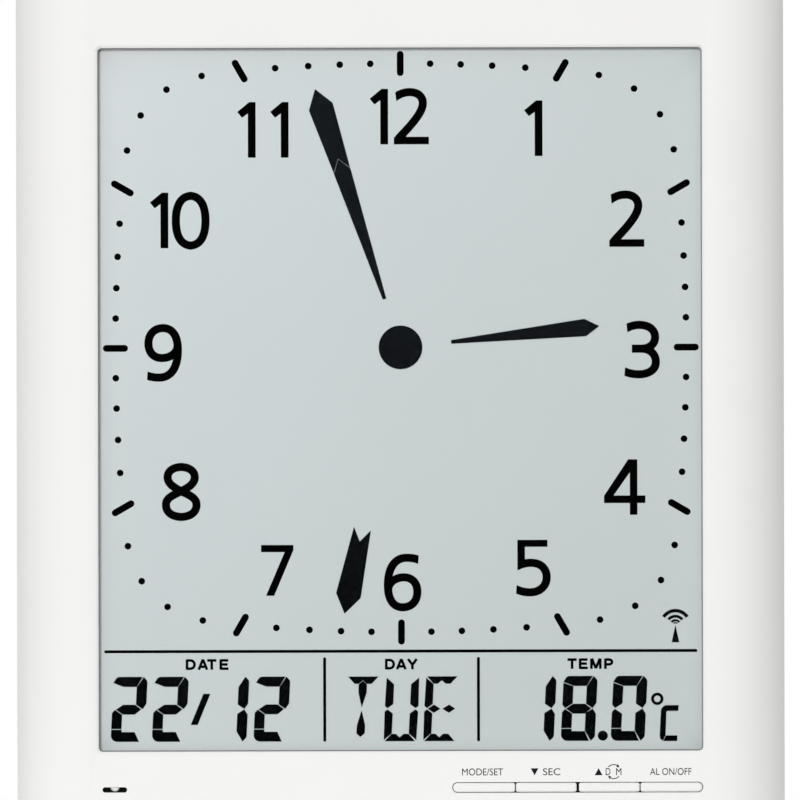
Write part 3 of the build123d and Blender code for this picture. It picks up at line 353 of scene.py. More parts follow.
def cell_jacket(name):
    """Plain battery sleeve: a pale band at one end, dark body, bare steel ends."""
    made, place, wear = material(name)
    along = place.axis("X")
    band = along.over(JACKET_BAND)
    ends = place.math("ABSOLUTE", along).over(JACKET_END)
    mottle = place.noise(220.0)
    body = band.mix((0.035, 0.045, 0.06), (0.42, 0.30, 0.12))
    wear(
        Base_Color=ends.mix(body, (0.62, 0.62, 0.60)),
        Metallic=ends,
        Roughness=0.32 + 0.15 * (mottle - 0.5),
    )
    return made


WHITE = (0.905, 0.901, 0.892)
FINISHES = {
    "housing_white": moulded("housing_white", WHITE, 0.48, gloss=0.35),
    "cover_white": moulded("cover_white", (0.86, 0.845, 0.825), 0.55, 1500.0, 0.00006, 0.3),
    "button_white": moulded("button_white", (0.905, 0.901, 0.893), 0.42, gloss=0.4),
    # dark foam gasket; its reveal also stands in for the shadow line round the window: painted shade
    "gasket_black": rubber("gasket_black", (0.25, 0.25, 0.252)),
    "window_clear": clear_sheet("window_clear", (0.01, 0.011, 0.011), 0.008, 0.45),
    "ink_black": printed("ink_black", (0.0008, 0.0008, 0.0008), 0.006),
    "legend_grey": printed("legend_grey", (0.014, 0.014, 0.015)),
    "film_grey": clear_sheet("film_grey", (0.008, 0.010, 0.010), 0.012, 0.2),
    "display_glass": clear_sheet("display_glass", (0.02, 0.024, 0.023), 0.012, 0.2),
    "display_ground": display_ground("display_ground"),
    "segment_dark": switched_on("segment_dark", (0.0084, 0.0101, 0.0127), (0.0004, 0.0008, 0.0009)),
    "seal_clear": moulded("seal_clear", (0.55, 0.56, 0.54), 0.5),
    "reflector_grey": metal("reflector_grey", (0.62, 0.66, 0.64), 0.45),
    "frame_ivory": moulded("frame_ivory", (0.72, 0.68, 0.58), 0.5),
    "elastomer": striped("elastomer", (0.03, 0.03, 0.03), (0.42, 0.36, 0.34), "X", 0.0004, 0.7),
    "screw_steel": metal("screw_steel", (0.58, 0.57, 0.55), 0.32),
    "board_green": circuit_board("board_green"),
    "resin_black": moulded("resin_black", (0.012, 0.012, 0.013), 0.25, 400.0, 0.0001, 0.2),
    "can_steel": metal("can_steel", (0.66, 0.66, 0.65), 0.25, (0.1, 1.0, 1.0)),
    "switch_black": moulded("switch_black", (0.03, 0.03, 0.032), 0.5),
    "plunger_grey": moulded("plunger_grey", (0.30, 0.30, 0.30), 0.45),
    "bead_pale": moulded("bead_pale", (0.96, 0.955, 0.945), 0.3),
    "ferrite": moulded("ferrite", (0.045, 0.042, 0.042), 0.6, 1200.0, 0.00005, 0.4),
    "coil_copper": striped("coil_copper", (0.32, 0.10, 0.03), (0.72, 0.30, 0.12), "X", 0.0005, 0.35, 0.8),
    "plate_brass": metal("plate_brass", (0.72, 0.53, 0.24), 0.3),
    "piezo": moulded("piezo", (0.70, 0.66, 0.58), 0.45),
    "cell_jacket": cell_jacket("cell_jacket"),
    "contact_nickel": metal("contact_nickel", (0.70, 0.68, 0.63), 0.28, (1.0, 0.1, 1.0)),
    "lead_red": moulded("lead_red", (0.42, 0.02, 0.02), 0.45),
    "lead_black": moulded("lead_black", (0.02, 0.02, 0.02), 0.45),
    "lead_grey": moulded("lead_grey", (0.35, 0.36, 0.37), 0.5),
}
SHOWN_FINISH = {"lcd_rear_glass": "display_ground"}     # shown in place of the slot's own finish


def dress(obj, finish):
    """Gives an object one finish."""
    obj.data.materials.clear()
    obj.data.materials.append(FINISHES[finish])


for node, obj in NODES.items():
    dress(obj, SHOWN_FINISH.get(node, SLOTS[node]))


# Flat print and display segments

def curve_points(controls, steps=14):
    """Points on a chain of cubic Bezier arcs; controls are end, handle, handle, end and so on."""
    chain = np.asarray(controls, float)
    t = np.linspace(0.0, 1.0, steps, endpoint=False)[:, None]
    a, b, c, d = (chain[k:len(chain) - 3 + k:3, None] for k in range(4))
    arcs = (1 - t) ** 3 * a + 3 * t * (1 - t) ** 2 * b + 3 * t ** 2 * (1 - t) * c + t ** 3 * d
    return np.vstack([arcs.reshape(-1, 2), chain[-1:]])


CUT_UPRIGHT = 0.78               # 0 cuts the end of a stroke square, 1 cuts it upright


def stroke(controls, width, steps=14):
    """Outline of a pen stroke: its middle line pushed half a width to each side.

    At an end that runs more across than up, the two sides slide along the line by the tangent of its
    slope, fading out over one width, so that the cut is nearly upright.
    """
    line = curve_points(controls, steps)
    along = np.gradient(line, axis=0)
    along /= np.linalg.norm(along, axis=1)[:, None]
    aside = np.stack([-along[:, 1], along[:, 0]], axis=1) * width / 2
    run = np.append(0.0, np.cumsum(np.linalg.norm(np.diff(line, axis=0), axis=1)))
    slide = np.zeros(len(line))
    for end, distance in ((0, run), (-1, run[-1] - run)):
        across, up = along[end]
        if abs(across) > abs(up):
            slide += CUT_UPRIGHT * up / across * width / 2 * np.clip(1 - distance / width, 0.0, None)
    aside += along * slide[:, None]
    return np.vstack([line + aside, (line - aside)[::-1]])


def grown(outline, amount):
    """Outline with every corner pushed out along its mitre, at most twice the amount."""
    ring = np.asarray(outline, float)
    edge = np.roll(ring, -1, axis=0) - ring
    edge /= np.linalg.norm(edge, axis=1)[:, None]
    area = np.sum(ring[:, 0] * np.roll(ring[:, 1], -1) - np.roll(ring[:, 0], -1) * ring[:, 1])
    outward = np.stack([edge[:, 1], -edge[:, 0]], axis=1) * np.sign(area)
    both = outward + np.roll(outward, 1, axis=0)
    length = np.linalg.norm(both, axis=1)[:, None]
    return ring + both / length * amount * np.minimum(2 / length, 2.0)


def softened(points, steps=6):
    """Outline whose corners given as (x, z, radius) are arcs that touch both neighbouring edges."""
    corners = np.array([point[:2] for point in points], float)
    outline = []
    for k, point in enumerate(points):
        if len(point) == 2:
            outline.append(corners[k:k + 1])
            continue
        before = corners[k - 1] - corners[k]
        after = corners[(k + 1) % len(points)] - corners[k]
        before /= np.linalg.norm(before)
        after /= np.linalg.norm(after)
        half = np.arccos(np.clip(before @ after, -1, 1)) / 2
        middle = corners[k] + (before + after) / np.linalg.norm(before + after) * point[2] / sin(half)
        first = corners[k] + before * point[2] / np.tan(half) - middle
        last = corners[k] + after * point[2] / np.tan(half) - middle
        t = np.linspace(0.0, 1.0, steps)[:, None]
        arc = (1 - t) * first + t * last
        outline.append(middle + arc / np.linalg.norm(arc, axis=1)[:, None] * point[2])
    return np.vstack(outline)


def capsule(middle, length, width, turn, steps=12):
    """Outline of a bar with half-round ends; turn is its angle from x."""
    sweep = np.linspace(-pi / 2, pi / 2, steps)
    end = np.stack([np.cos(sweep), np.sin(sweep)], axis=1) * width / 2
    half = end + [(length - width) / 2, 0.0]
    outline = np.vstack([half, -half])
    spin = np.array([[cos(turn), sin(turn)], [-sin(turn), cos(turn)]])
    return outline @ spin + middle


def disc(middle, radius, steps=32):
    """Round outline: a point carried once round a circle."""
    turn = np.linspace(0.0, 2 * pi, steps, endpoint=False)
    return np.stack([np.cos(turn), np.sin(turn)], axis=1) * radius + middle


def arc_band(middle, radius, width, start, end, steps=24):
    """Outline of a stretch of ring between two angles."""
    turn = np.radians(np.linspace(start, end, steps))
    ray = np.stack([np.cos(turn), np.sin(turn)], axis=1)
    return np.vstack([ray * (radius + width / 2), ray[::-1] * (radius - width / 2)]) + middle


def plate(outline, front, rear):
    """Closed thin plate: an outline in (x, z) at a front depth, repeated at a rear depth."""
    ring = np.asarray(outline, float)
    following = np.roll(ring, -1, axis=0)
    if np.sum(ring[:, 0] * following[:, 1] - following[:, 0] * ring[:, 1]) < 0:
        ring = ring[::-1]
    count = len(ring)
    depth = np.repeat([front, rear], count)
    points = np.stack([np.tile(ring[:, 0], 2), depth, np.tile(ring[:, 1], 2)], axis=1)
    here = np.arange(count)
    there = np.roll(here, -1)
    sides = np.stack([here, here + count, there + count, there], axis=1)
    return points, [here.tolist(), (here[::-1] + count).tolist()] + sides.tolist()


def ring_plate(middle, radius, width, front, rear, steps=40):
    """Closed flat ring: a rectangular section of four corners carried once round a circle."""
    turn = np.linspace(0.0, 2 * pi, steps, endpoint=False)[:, None]
    reach = radius + np.array([0.5, 0.5, -0.5, -0.5]) * width
    depth = np.tile([front, rear, rear, front], (steps, 1))
    x, z = middle[0] + reach * np.cos(turn), middle[1] + reach * np.sin(turn)
    points = np.stack([x, depth, z], axis=2)
    here = np.arange(4 * steps).reshape(steps, 4)
    after, beside = np.roll(here, -1, axis=0), np.roll(here, -1, axis=1)
    quads = np.stack([here, beside, np.roll(after, -1, axis=1), after], axis=2)
    return points.reshape(-1, 3), quads.reshape(-1, 4).tolist()


def word(text, left, right, bottom, top, front, rear):
    """Flat lettering fitted between two sides and two heights, as thick as the given depths."""
    curve = bpy.data.curves.new("lettering", "FONT")
    curve.body = text
    curve.extrude = 0.5
    holder = bpy.data.objects.new("lettering", curve)
    bpy.context.scene.collection.objects.link(holder)
    bpy.context.view_layer.update()
    mesh = bpy.data.meshes.new_from_object(holder.evaluated_get(bpy.context.evaluated_depsgraph_get()))
    flat = np.zeros(3 * len(mesh.vertices))
    mesh.vertices.foreach_get("co", flat)
    flat = flat.reshape(-1, 3)
    low, high = flat.min(0), flat.max(0)
    share = (flat - low) / (high - low)
    points = np.stack([
        left + share[:, 0] * (right - left),
        rear + share[:, 2] * (front - rear),
        bottom + share[:, 1] * (top - bottom),
    ], axis=1)
    faces = [list(face.vertices) for face in mesh.polygons]
    bpy.data.objects.remove(holder)
    bpy.data.curves.remove(curve)
    bpy.data.meshes.remove(mesh)
    return points, faces


def piece(name, parts, finish, body="case", stands_for=()):
    """One object from several closed parts, riding on a body."""
    points, faces, start = [], [], 0
    for part_points, part_faces in parts:
        points.append(part_points)
        faces += [[index + start for index in face] for face in part_faces]
        start += len(part_points)
    mesh = bpy.data.meshes.new(name)
    mesh.from_pydata(np.vstack(points).tolist(), [], faces)
    mesh.update()
    obj = bpy.data.objects.new(name, mesh)
    bpy.context.scene.collection.objects.link(obj)
    dress(obj, finish)
    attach(obj, body)
    if stands_for:
        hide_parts(*stands_for)
    return obj


def shadeless(obj):
    """Print that lies tight on its ground: it throws no soft shade round itself."""
    obj.visible_shadow = False
    obj.visible_diffuse = False
    return obj


# Dial print

UNIT = 0.3 * MM                  # grid on which the numerals are drawn
PEN = 8.25
NUMERALS = {
    "0": {"strokes": [
        [(20.2, 53.3), (8.4, 53.3), (4.0, 42.6), (4.0, 28.4), (4.0, 14.1), (8.4, 3.4), (20.2, 3.4)],
        [(17.4, 53.3), (29.2, 53.3), (33.7, 42.6), (33.7, 28.4), (33.7, 14.1), (29.2, 3.4), (17.4, 3.4)]]},
    "1": {"plates": [
        [(11.7, 55.7), (18.1, 55.7), (18.1, 0), (10.3, 0), (10.3, 44.2), (4.5, 39.9), (-0.3, 45.8)]]},
    "2": {"strokes": [
        [(2.0, 47.7), (6.4, 50.7), (11.0, 52.3), (16.1, 52.3), (24.0, 52.3), (29.1, 48.0), (29.1, 41.3),
         (29.1, 33.6), (22.0, 25.4), (16.4, 18.6), (12.4, 14.0), (7.6, 9.2), (4.2, 5.2)]],
        "plates": [[(0, 0), (35.1, 0), (35.1, 7.6), (1.0, 7.6), (0, 6.6)]]},
    "3": {"strokes": [
        [(2.8, 49.8), (6.5, 51.8), (10.5, 53.0), (15.1, 53.0), (24.6, 53.0), (31.0, 48.3), (31.0, 40.8),
         (31.0, 33.2), (25.0, 29.2), (17.0, 29.2), (13.0, 29.2), (10.0, 29.2), (7.7, 29.2)],
        [(13.0, 29.2), (15.0, 29.2), (16.0, 29.2), (17.0, 29.2), (25.8, 29.2), (31.7, 24.0), (31.7, 15.8),
         (31.7, 8.0), (24.4, 3.5), (14.4, 3.5), (9.5, 3.5), (4.8, 4.6), (0.5, 6.4)]]},
    "4": {"plates": [
        [(25.7, 0), (33.3, 0), (33.3, 55.6), (25.7, 55.6)],
        [(24.1, 55.6), (26.2, 55.6), (26.2, 43.2), (9.3, 19.2), (-0.2, 19.1)],
        [(-0.2, 11.8), (41.3, 11.8), (41.3, 19.4), (9.0, 19.4), (-0.2, 19.1)]]},
    "5": {"strokes": [
        [(1.6, 30.2), (5.6, 32.0), (9.8, 33.0), (14.3, 33.0), (23.8, 33.0), (29.9, 27.3), (29.9, 18.7),
         (29.9, 9.5), (23.0, 3.4), (13.0, 3.4), (8.2, 3.4), (4.2, 4.4), (-0.5, 6.4)]],
        "plates": [[(0.6, 25.5), (8.2, 28.6), (8.2, 49.0), (30.8, 49.0), (30.8, 56.0), (0.6, 56.0)]]},
    "6": {"strokes": [
        [(34.4, 51.0), (31.0, 52.2), (27.0, 53.0), (22.6, 53.0), (10.0, 53.0), (3.7, 42.0), (3.7, 25.5),
         (3.7, 11.0), (9.2, 3.4), (18.6, 3.4), (27.5, 3.4), (33.2, 9.7), (33.2, 18.9), (33.2, 28.0),
         (27.8, 33.4), (19.6, 33.4), (11.6, 33.4), (3.2, 28.2), (4.05, 19.4)]]},
    "7": {"plates": [
        [(-0.1, 50.9), (32.4, 50.9), (32.4, 45.8), (13.0, 0), (4.8, 0), (23.5, 43.7), (-0.1, 43.7)]]},
    "8": {"strokes": [
        [(20.4, 53.6), (11.0, 53.6), (5.5, 49.5), (5.5, 43.4), (5.5, 36.8), (12.0, 33.0), (18.9, 29.4),
         (27.0, 25.4), (34.4, 22.8), (34.4, 15.8), (34.4, 8.0), (28.0, 3.5), (17.8, 3.5)],
        [(17.8, 53.6), (27.2, 53.6), (32.7, 49.5), (32.7, 43.4), (32.7, 36.8), (26.2, 33.0), (19.3, 29.4),
         (11.2, 25.4), (3.8, 22.8), (3.8, 15.8), (3.8, 8.0), (10.2, 3.5), (20.4, 3.5)]]},
}
SIX_WIDTH, SIX_HEIGHT = 37.3, 57.0
STROKE_STEP = 0.01 * MM
# Lower left corner of each figure, in millimetres from the middle of the dial
HOUR_FIGURES = [
    ("1", -8.90, 60.90), ("2", -1.75, 60.90), ("1", 37.48, 57.30), ("2", 62.90, 29.97),
    ("3", 67.30, -9.40), ("4", 61.20, -50.55), ("5", 34.90, -74.80), ("6", -4.95, -79.20),
    ("7", -41.90, -74.65), ("8", -71.60, -51.95), ("9", -76.85, -10.22), ("1", -75.00, 29.85),
    ("0", -68.50, 29.60), ("1", -48.70, 57.00), ("1", -38.80, 57.00),
]


def figure_outlines(figure):
    """Outlines of one figure on the numeral grid; a nine is a six turned half round."""
    drawn = NUMERALS["6" if figure == "9" else figure]
    outlines = [stroke(controls, PEN) for controls in drawn.get("strokes", [])]
    outlines += [np.asarray(points, float) for points in drawn.get("plates", [])]
    if figure == "9":
        outlines = [[SIX_WIDTH, SIX_HEIGHT] - outline for outline in outlines]
    return outlines


def hour_numerals():
    """Twelve hours; each stroke of a figure lies a little lower than the last, so none share a face."""
    parts = []
    for figure, left, low in HOUR_FIGURES:
        corner = np.array([left * MM, DIAL_Z + low * MM])
        for level, outline in enumerate(figure_outlines(figure)):
            parts.append(plate(outline * UNIT + corner, INK_FRONT + level * STROKE_STEP, INK_REAR))
    return shadeless(piece("hour_numerals", parts, "ink_black"))


TRACK_HALF = 85.4 * MM           # from the dial's middle to the middle of a side
TRACK_WIDEN = 1.004              # the track is a little wider than tall
TRACK_SHIFT = 0.21 * MM
TRACK_DROP = 0.2 * MM
SIDE_BOW = 530.0 * MM            # radius of a bowed side
CORNER_MIDDLE = 55.1 * MM        # middle of a round corner, in x and in z
CORNER_ROUND = 27.05 * MM
CORNER_FROM = radians(30)        # angle from the middle of a side beyond which a corner can cut it off
DOT_RADIUS = 1.015 * MM
BAR_SIZE = (7.55 * MM, 2.05 * MM)
RULE_WIDTH = 0.9 * MM
RULE_Z = WINDOW_BOTTOM + 29.95 * MM
RULE_LENGTH = 2 * WINDOW_HALF - 3.2 * MM
DIVIDER_LOW, DIVIDER_HIGH = WINDOW_BOTTOM + 2.8 * MM, RULE_Z - 1.8 * MM
DIVIDER_PLACES = (67.8 * MM - WINDOW_HALF, WINDOW_HALF - 67.4 * MM)


def track_radius(angle):
    """Distance to the minute track: a square with bowed sides and round corners, along a ray."""
    turn = radians(min(angle % 90, 90 - angle % 90))
    centre = TRACK_HALF - SIDE_BOW
    side = centre * cos(turn) + sqrt(SIDE_BOW ** 2 - (centre * sin(turn)) ** 2)
    along = CORNER_MIDDLE * (cos(turn) + sin(turn))
    inside = CORNER_ROUND ** 2 - 2 * CORNER_MIDDLE ** 2 + along ** 2
    return min(side, along + sqrt(inside)) if turn > CORNER_FROM and inside > 0 else side


def minute_track():
    """Sixty marks on the track, the rule under it and the two dividers of the date row."""
    outlines = []
    for minute in range(60):
        angle = radians(6 * minute)
        reach = track_radius(6 * minute)
        x = reach * sin(angle) * TRACK_WIDEN + TRACK_SHIFT
        middle = (x, DIAL_Z + reach * cos(angle) - TRACK_DROP)
        bar = capsule(middle, *BAR_SIZE, pi / 2 - angle)
        outlines.append(disc(middle, DOT_RADIUS) if minute % 5 else bar)
    outlines.append(capsule((0.0, RULE_Z), RULE_LENGTH, RULE_WIDTH, 0.0))
    tall, halfway = DIVIDER_HIGH - DIVIDER_LOW, (DIVIDER_LOW + DIVIDER_HIGH) / 2
    for x in DIVIDER_PLACES:
        outlines.append(capsule((x, halfway), tall, RULE_WIDTH, pi / 2))
    parts = [plate(outline, INK_FRONT, INK_REAR) for outline in outlines]
    return shadeless(piece("minute_track", parts, "ink_black", stands_for=("dial_marks",)))


LABEL_LOW = WINDOW_BOTTOM + 24.48 * MM
LABEL_WIDEN = 1.08
LABEL_PEN = 2.7
# Capitals on the numeral grid, 10.4 high: straight strokes and one curved bowl
CAPITALS = {
    "A": [[(1.1, 0), (5.0, 10.4)], [(8.9, 0), (5.0, 10.4)], [(2.4, 3.0), (7.6, 3.0)]],
    "D": [[(1.1, 0), (1.1, 10.4)],
          [(1.1, 9.35), (3.0, 9.35), (3.4, 9.35), (4.0, 9.35), (9.4, 9.35), (9.4, 1.05), (4.0, 1.05),
           (3.4, 1.05), (3.0, 1.05), (1.1, 1.05)]],
    "E": [[(1.1, 0), (1.1, 10.4)], [(1.1, 9.35), (8.0, 9.35)], [(1.1, 5.3), (7.4, 5.3)],
          [(1.1, 1.05), (8.2, 1.05)]],
    "M": [[(1.1, 0), (1.1, 10.4)], [(9.3, 0), (9.3, 10.4)], [(1.5, 10.4), (5.2, 0.6)],
          [(8.9, 10.4), (5.2, 0.6)]],
    "P": [[(1.1, 0), (1.1, 10.4)],
          [(1.1, 9.35), (2.6, 9.35), (3.6, 9.35), (4.3, 9.35), (8.2, 9.35), (8.2, 4.5), (4.3, 4.5),
           (3.6, 4.5), (2.6, 4.5), (1.1, 4.5)]],
    "T": [[(4.3, 0), (4.3, 10.4)], [(0, 9.35), (8.6, 9.35)]],
    "Y": [[(5.0, 0), (5.0, 5.0)], [(5.0, 4.4), (1.0, 10.4)], [(5.0, 4.4), (9.0, 10.4)]],
}
# Left end of each capital in millimetres from the window's middle
LABELS = [
    ("D", -64.6), ("A", -61.1), ("T", -58.2), ("E", -54.45),
    ("D", -4.75), ("A", -1.5), ("Y", 1.85),
    ("T", 50.05), ("E", 53.5), ("M", 56.9), ("P", 61.1),
]


def panel_labels():
    """Headings of the date row, each capital made of pen strokes."""
    parts = []
    for letter, left in LABELS:
        corner = np.array([left * MM, LABEL_LOW])
        for level, controls in enumerate(CAPITALS[letter]):
            line = np.asarray(controls, float) * [LABEL_WIDEN, 1.0]
            if len(line) == 2:
                line = line[0] + np.linspace(0, 1, 4)[:, None] * (line[1] - line[0])
            outline = stroke(line, LABEL_PEN) * UNIT + corner
            parts.append(plate(outline, INK_FRONT + level * STROKE_STEP, INK_REAR))
    return shadeless(piece("panel_labels", parts, "ink_black"))


MAST_X = 82.55 * MM
MAST_TOP = DIAL_Z - 83.7 * MM
MAST_HEIGHT, MAST_HALF = 5.2 * MM, 1.12 * MM
# Radius, width and half angle of each arc over the mast
MAST_ARCS = [(4.3, 1.04, 56), (2.62, 0.86, 52), (1.42, 0.66, 54), (0.7, 0.36, 52)]


def signal_mast():
    """Sign for radio reception: a slim mast under four arcs."""
    middle = (MAST_X, MAST_TOP)
    outlines = [arc_band(middle, r * MM, w * MM, 90 - half, 90 + half) for r, w, half in MAST_ARCS]
    foot = MAST_TOP - MAST_HEIGHT
    outlines.append([(MAST_X, MAST_TOP), (MAST_X + MAST_HALF, foot), (MAST_X - MAST_HALF, foot)])
    parts = [plate(outline, LAYER_FRONT, LAYER_REAR) for outline in outlines]
    return piece("signal_mast", parts, "segment_dark")


# Hub and hands of the display; lengths run out from the middle of the dial

HUB_RADIUS = 6.57 * MM
DIAL_SHIFT = np.array([0.12 * MM, -0.08 * MM])
HOUR_ANGLE, MINUTE_ANGLE, SECOND_ANGLE = radians(84.0), radians(341.8), radians(192.0)
RAY_START, RAY_START_HALF = 15.35 * MM, 0.5 * MM
JOINT_SHOULDER, JOINT_TIP, JOINT_HALF = 55.8 * MM, 59.5 * MM, 2.575 * MM
JOINT_GAP = 0.32 * MM
RAY_SHOULDER, RAY_HALF = 76.2 * MM, 3.7 * MM
HOUR_TIP, MINUTE_TIP, MARKER_TIP = 60.0 * MM, 81.68 * MM, 81.7 * MM
MARKER_EAR, MARKER_NOTCH = 55.75 * MM, 59.75 * MM
RAY_GROWTH = 0.06 * MM


def ray_outline(angle, side, tip, notch=None):
    """Outline of a ray: one side as (length, half width), its tip, the other side and perhaps a notch."""
    points = side + [(tip, 0.0)] + [(reach, -half) for reach, half in reversed(side)]
    reach, offset = np.array(points + ([(notch, 0.0)] if notch else [])).T
    x = reach * sin(angle) + offset * cos(angle)
    z = DIAL_Z + reach * cos(angle) - offset * sin(angle)
    return grown(np.stack([x, z], axis=1), RAY_GROWTH)


def dial_segments():
    """Hub, hour hand, minute hand in two segments with a hairline between them, and second marker."""
    inner = [(RAY_START, RAY_START_HALF), (JOINT_SHOULDER, JOINT_HALF)]
    outer = [(JOINT_SHOULDER + JOINT_GAP, JOINT_HALF), (RAY_SHOULDER, RAY_HALF)]
    marker = [(MARKER_EAR, JOINT_HALF), (RAY_SHOULDER, RAY_HALF)]
    outlines = [
        disc((0.0, DIAL_Z), HUB_RADIUS, 64),
        ray_outline(HOUR_ANGLE, inner, HOUR_TIP),
        ray_outline(MINUTE_ANGLE, inner, JOINT_TIP),
        ray_outline(MINUTE_ANGLE, outer, MINUTE_TIP, JOINT_TIP + JOINT_GAP),
        ray_outline(SECOND_ANGLE, marker, MARKER_TIP, MARKER_NOTCH),
    ]
    parts = [plate(outline + DIAL_SHIFT, LAYER_FRONT, LAYER_REAR) for outline in outlines]
    return piece("dial_segments", parts, "segment_dark", stands_for=("lcd_segments",))


# Digits of the display, drawn on the numeral grid and leaning a little

LEAN = 0.05
DIGIT_GROWTH, LETTER_GROWTH = 0.22, 0.2
LETTER_STRETCH = 1.01
DIGIT_LOW = WINDOW_BOTTOM + 2.9 * MM
SEGMENTS = {
    "a": [(-0.2, 58.9), (3.0, 64.6, 4.5), (28.3, 64.6), (22.9, 55.0), (10.0, 55.0)],
    "b": [(29.6, 64.4), (33.3, 60.6, 4.0), (33.3, 37.9), (29.9, 32.8), (23.3, 37.1), (23.3, 54.4)],
    "c": [(29.6, 0.2), (33.3, 4.0, 4.0), (33.3, 26.7), (29.9, 31.8), (23.3, 27.5), (23.3, 10.2)],
    "d": [(-0.3, 11.7), (9.7, 11.7), (9.7, 9.3), (22.9, 9.3), (27.6, 0), (-0.3, 0, 6.4)],
    "e": [(2.3, 31.5), (9.5, 26.8), (9.5, 12.8), (-0.3, 12.8), (-0.3, 28.4)],
    "f": [(2.5, 32.8), (9.5, 37.4), (9.5, 54.3), (-0.3, 57.7), (-0.3, 36.0)],
    "g": [(3.6, 32.0), (10.4, 36.7), (22.0, 36.7), (28.2, 32.3), (22.4, 27.3), (10.4, 27.3)],
}
LIT = {"0": "abcdef", "1": "bc", "2": "abged", "8": "abcdefg"}
# Left end of each digit in millimetres from the window's middle
DATE_DIGITS = [("2", -87.13), ("2", -74.75), ("1", -56.54), ("2", -44.23)]
TEMP_DIGITS = [("1", 35.8), ("8", 48.14), ("0", 63.13)]
DEGREE_MIDDLE = (77.05 * MM, DIGIT_LOW + 12.51 * MM)
DEGREE_RADIUS, DEGREE_WIDTH = 1.42 * MM, 0.88 * MM
POINT_MIDDLE, POINT_RADIUS = (60.65 * MM, DIGIT_LOW + 1.48 * MM), 1.5 * MM
SLASH_LEFT = -63.25
SLASH = [(-0.3, 16.8), (6.15, 16.8), (17.15, 47.5), (10.7, 47.5)]
SMALL_C_LEFT = 77.75
SMALL_C = [
    [(17.1, 35.1), (16.9, 29.8), (5.1, 29.8, 1.5), (5.4, 4.9), (3.0, 0.1), (0.7, 1.8), (0, 5.0),
     (0, 35.1, 5.5)],
    [(6.2, 4.8), (17.3, 4.8), (17.3, -0.4), (3.8, -0.4)],
]
LETTER_PARTS = {
    "top": [(0.3, 63.9), (29.8, 63.9), (23.4, 57.0), (18.7, 57.0), (14.8, 60.5), (10.9, 57.0), (6.7, 57.0)],
    "bottom": [(0.3, 0), (29.8, 0), (23.4, 6.9), (18.7, 6.9), (14.8, 3.4), (10.9, 6.9), (6.7, 6.9)],
    "upper_spear": [(14.8, 59.5), (18.8, 56.2), (18.9, 48.2), (14.9, 33.7), (11.1, 48.2), (11.0, 56.2)],
    "lower_spear": [(14.8, 4.4), (18.8, 7.7), (18.9, 15.7), (14.9, 30.2), (11.1, 15.7), (11.0, 7.7)],
    "left_upper": [(-0.7, 62.5), (6.6, 56.2), (6.7, 36.7), (1.4, 32.8), (-1.1, 34.9)],
    "left_lower": [(-0.7, 1.4), (6.6, 7.7), (6.7, 27.2), (1.4, 31.1), (-1.1, 29.0)],
    "right_upper": [(31.2, 62.5), (23.8, 56.2), (23.9, 36.7), (29.2, 32.8), (31.8, 34.9)],
    "right_lower": [(31.2, 1.4), (23.8, 7.7), (23.9, 27.2), (29.2, 31.1), (31.8, 29.0)],
    "left_bar": [(2.4, 31.95), (8.2, 35.8), (14.3, 31.95), (8.2, 28.1)],
    "right_bar": [(17.0, 31.95), (23.2, 35.8), (29.0, 31.95), (23.2, 28.1)],
}
DAY_LETTERS = [
    (-16.8, ("top", "upper_spear", "lower_spear")),
    (-4.95, ("left_upper", "left_lower", "right_upper", "right_lower", "bottom")),
    (6.93, ("left_upper", "left_lower", "left_bar", "right_bar", "top", "bottom")),
]


def leaning(points, left, growth, stretch=1.0):
    """Grid points grown a little, moved to the date row and sheared to the right with height."""
    grid = grown(softened(points) * stretch, growth)
    x = left * MM + (grid[:, 0] + LEAN * grid[:, 1]) * UNIT
    return np.stack([x, DIGIT_LOW + grid[:, 1] * UNIT], axis=1)


def display_digits():
    """Date, weekday and temperature, one plate for each segment that is switched on."""
    outlines = []
    for figure, left in DATE_DIGITS + TEMP_DIGITS:
        outlines += [leaning(SEGMENTS[lit], left, DIGIT_GROWTH) for lit in LIT[figure]]
    outlines += [leaning(points, SMALL_C_LEFT, DIGIT_GROWTH) for points in SMALL_C]
    for left, names in DAY_LETTERS:
        outlines += [leaning(LETTER_PARTS[name], left, LETTER_GROWTH, LETTER_STRETCH) for name in names]
    outlines.append(leaning(SLASH, SLASH_LEFT, DIGIT_GROWTH))
    outlines.append(disc(POINT_MIDDLE, POINT_RADIUS))
    parts = [plate(outline, LAYER_FRONT, LAYER_REAR) for outline in outlines]
    parts.append(ring_plate(DEGREE_MIDDLE, DEGREE_RADIUS, DEGREE_WIDTH, LAYER_FRONT, LAYER_REAR))
    return piece("display_digits", parts, "segment_dark")


GLASS_TRIM = 1.0 * MM


def front_glass():
    """Front plate of the cell with its polariser laminated on: one slab with trimmed corners."""
    film_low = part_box("lcd_front_film")[0]
    low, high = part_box("lcd_front_glass")
    outline = [
        (low.x + GLASS_TRIM, low.z), (high.x - GLASS_TRIM, low.z),
        (high.x, low.z + GLASS_TRIM), (high.x, high.z - GLASS_TRIM),
        (high.x - GLASS_TRIM, high.z), (low.x + GLASS_TRIM, high.z),
        (low.x, high.z - GLASS_TRIM), (low.x, low.z + GLASS_TRIM),
    ]
    parts = [plate(outline, film_low.y, high.y)]
    stands_for = ("lcd_front_film", "lcd_front_glass")
    return piece("front_glass", parts, "film_grey", stands_for=stands_for)


# Legends over the buttons

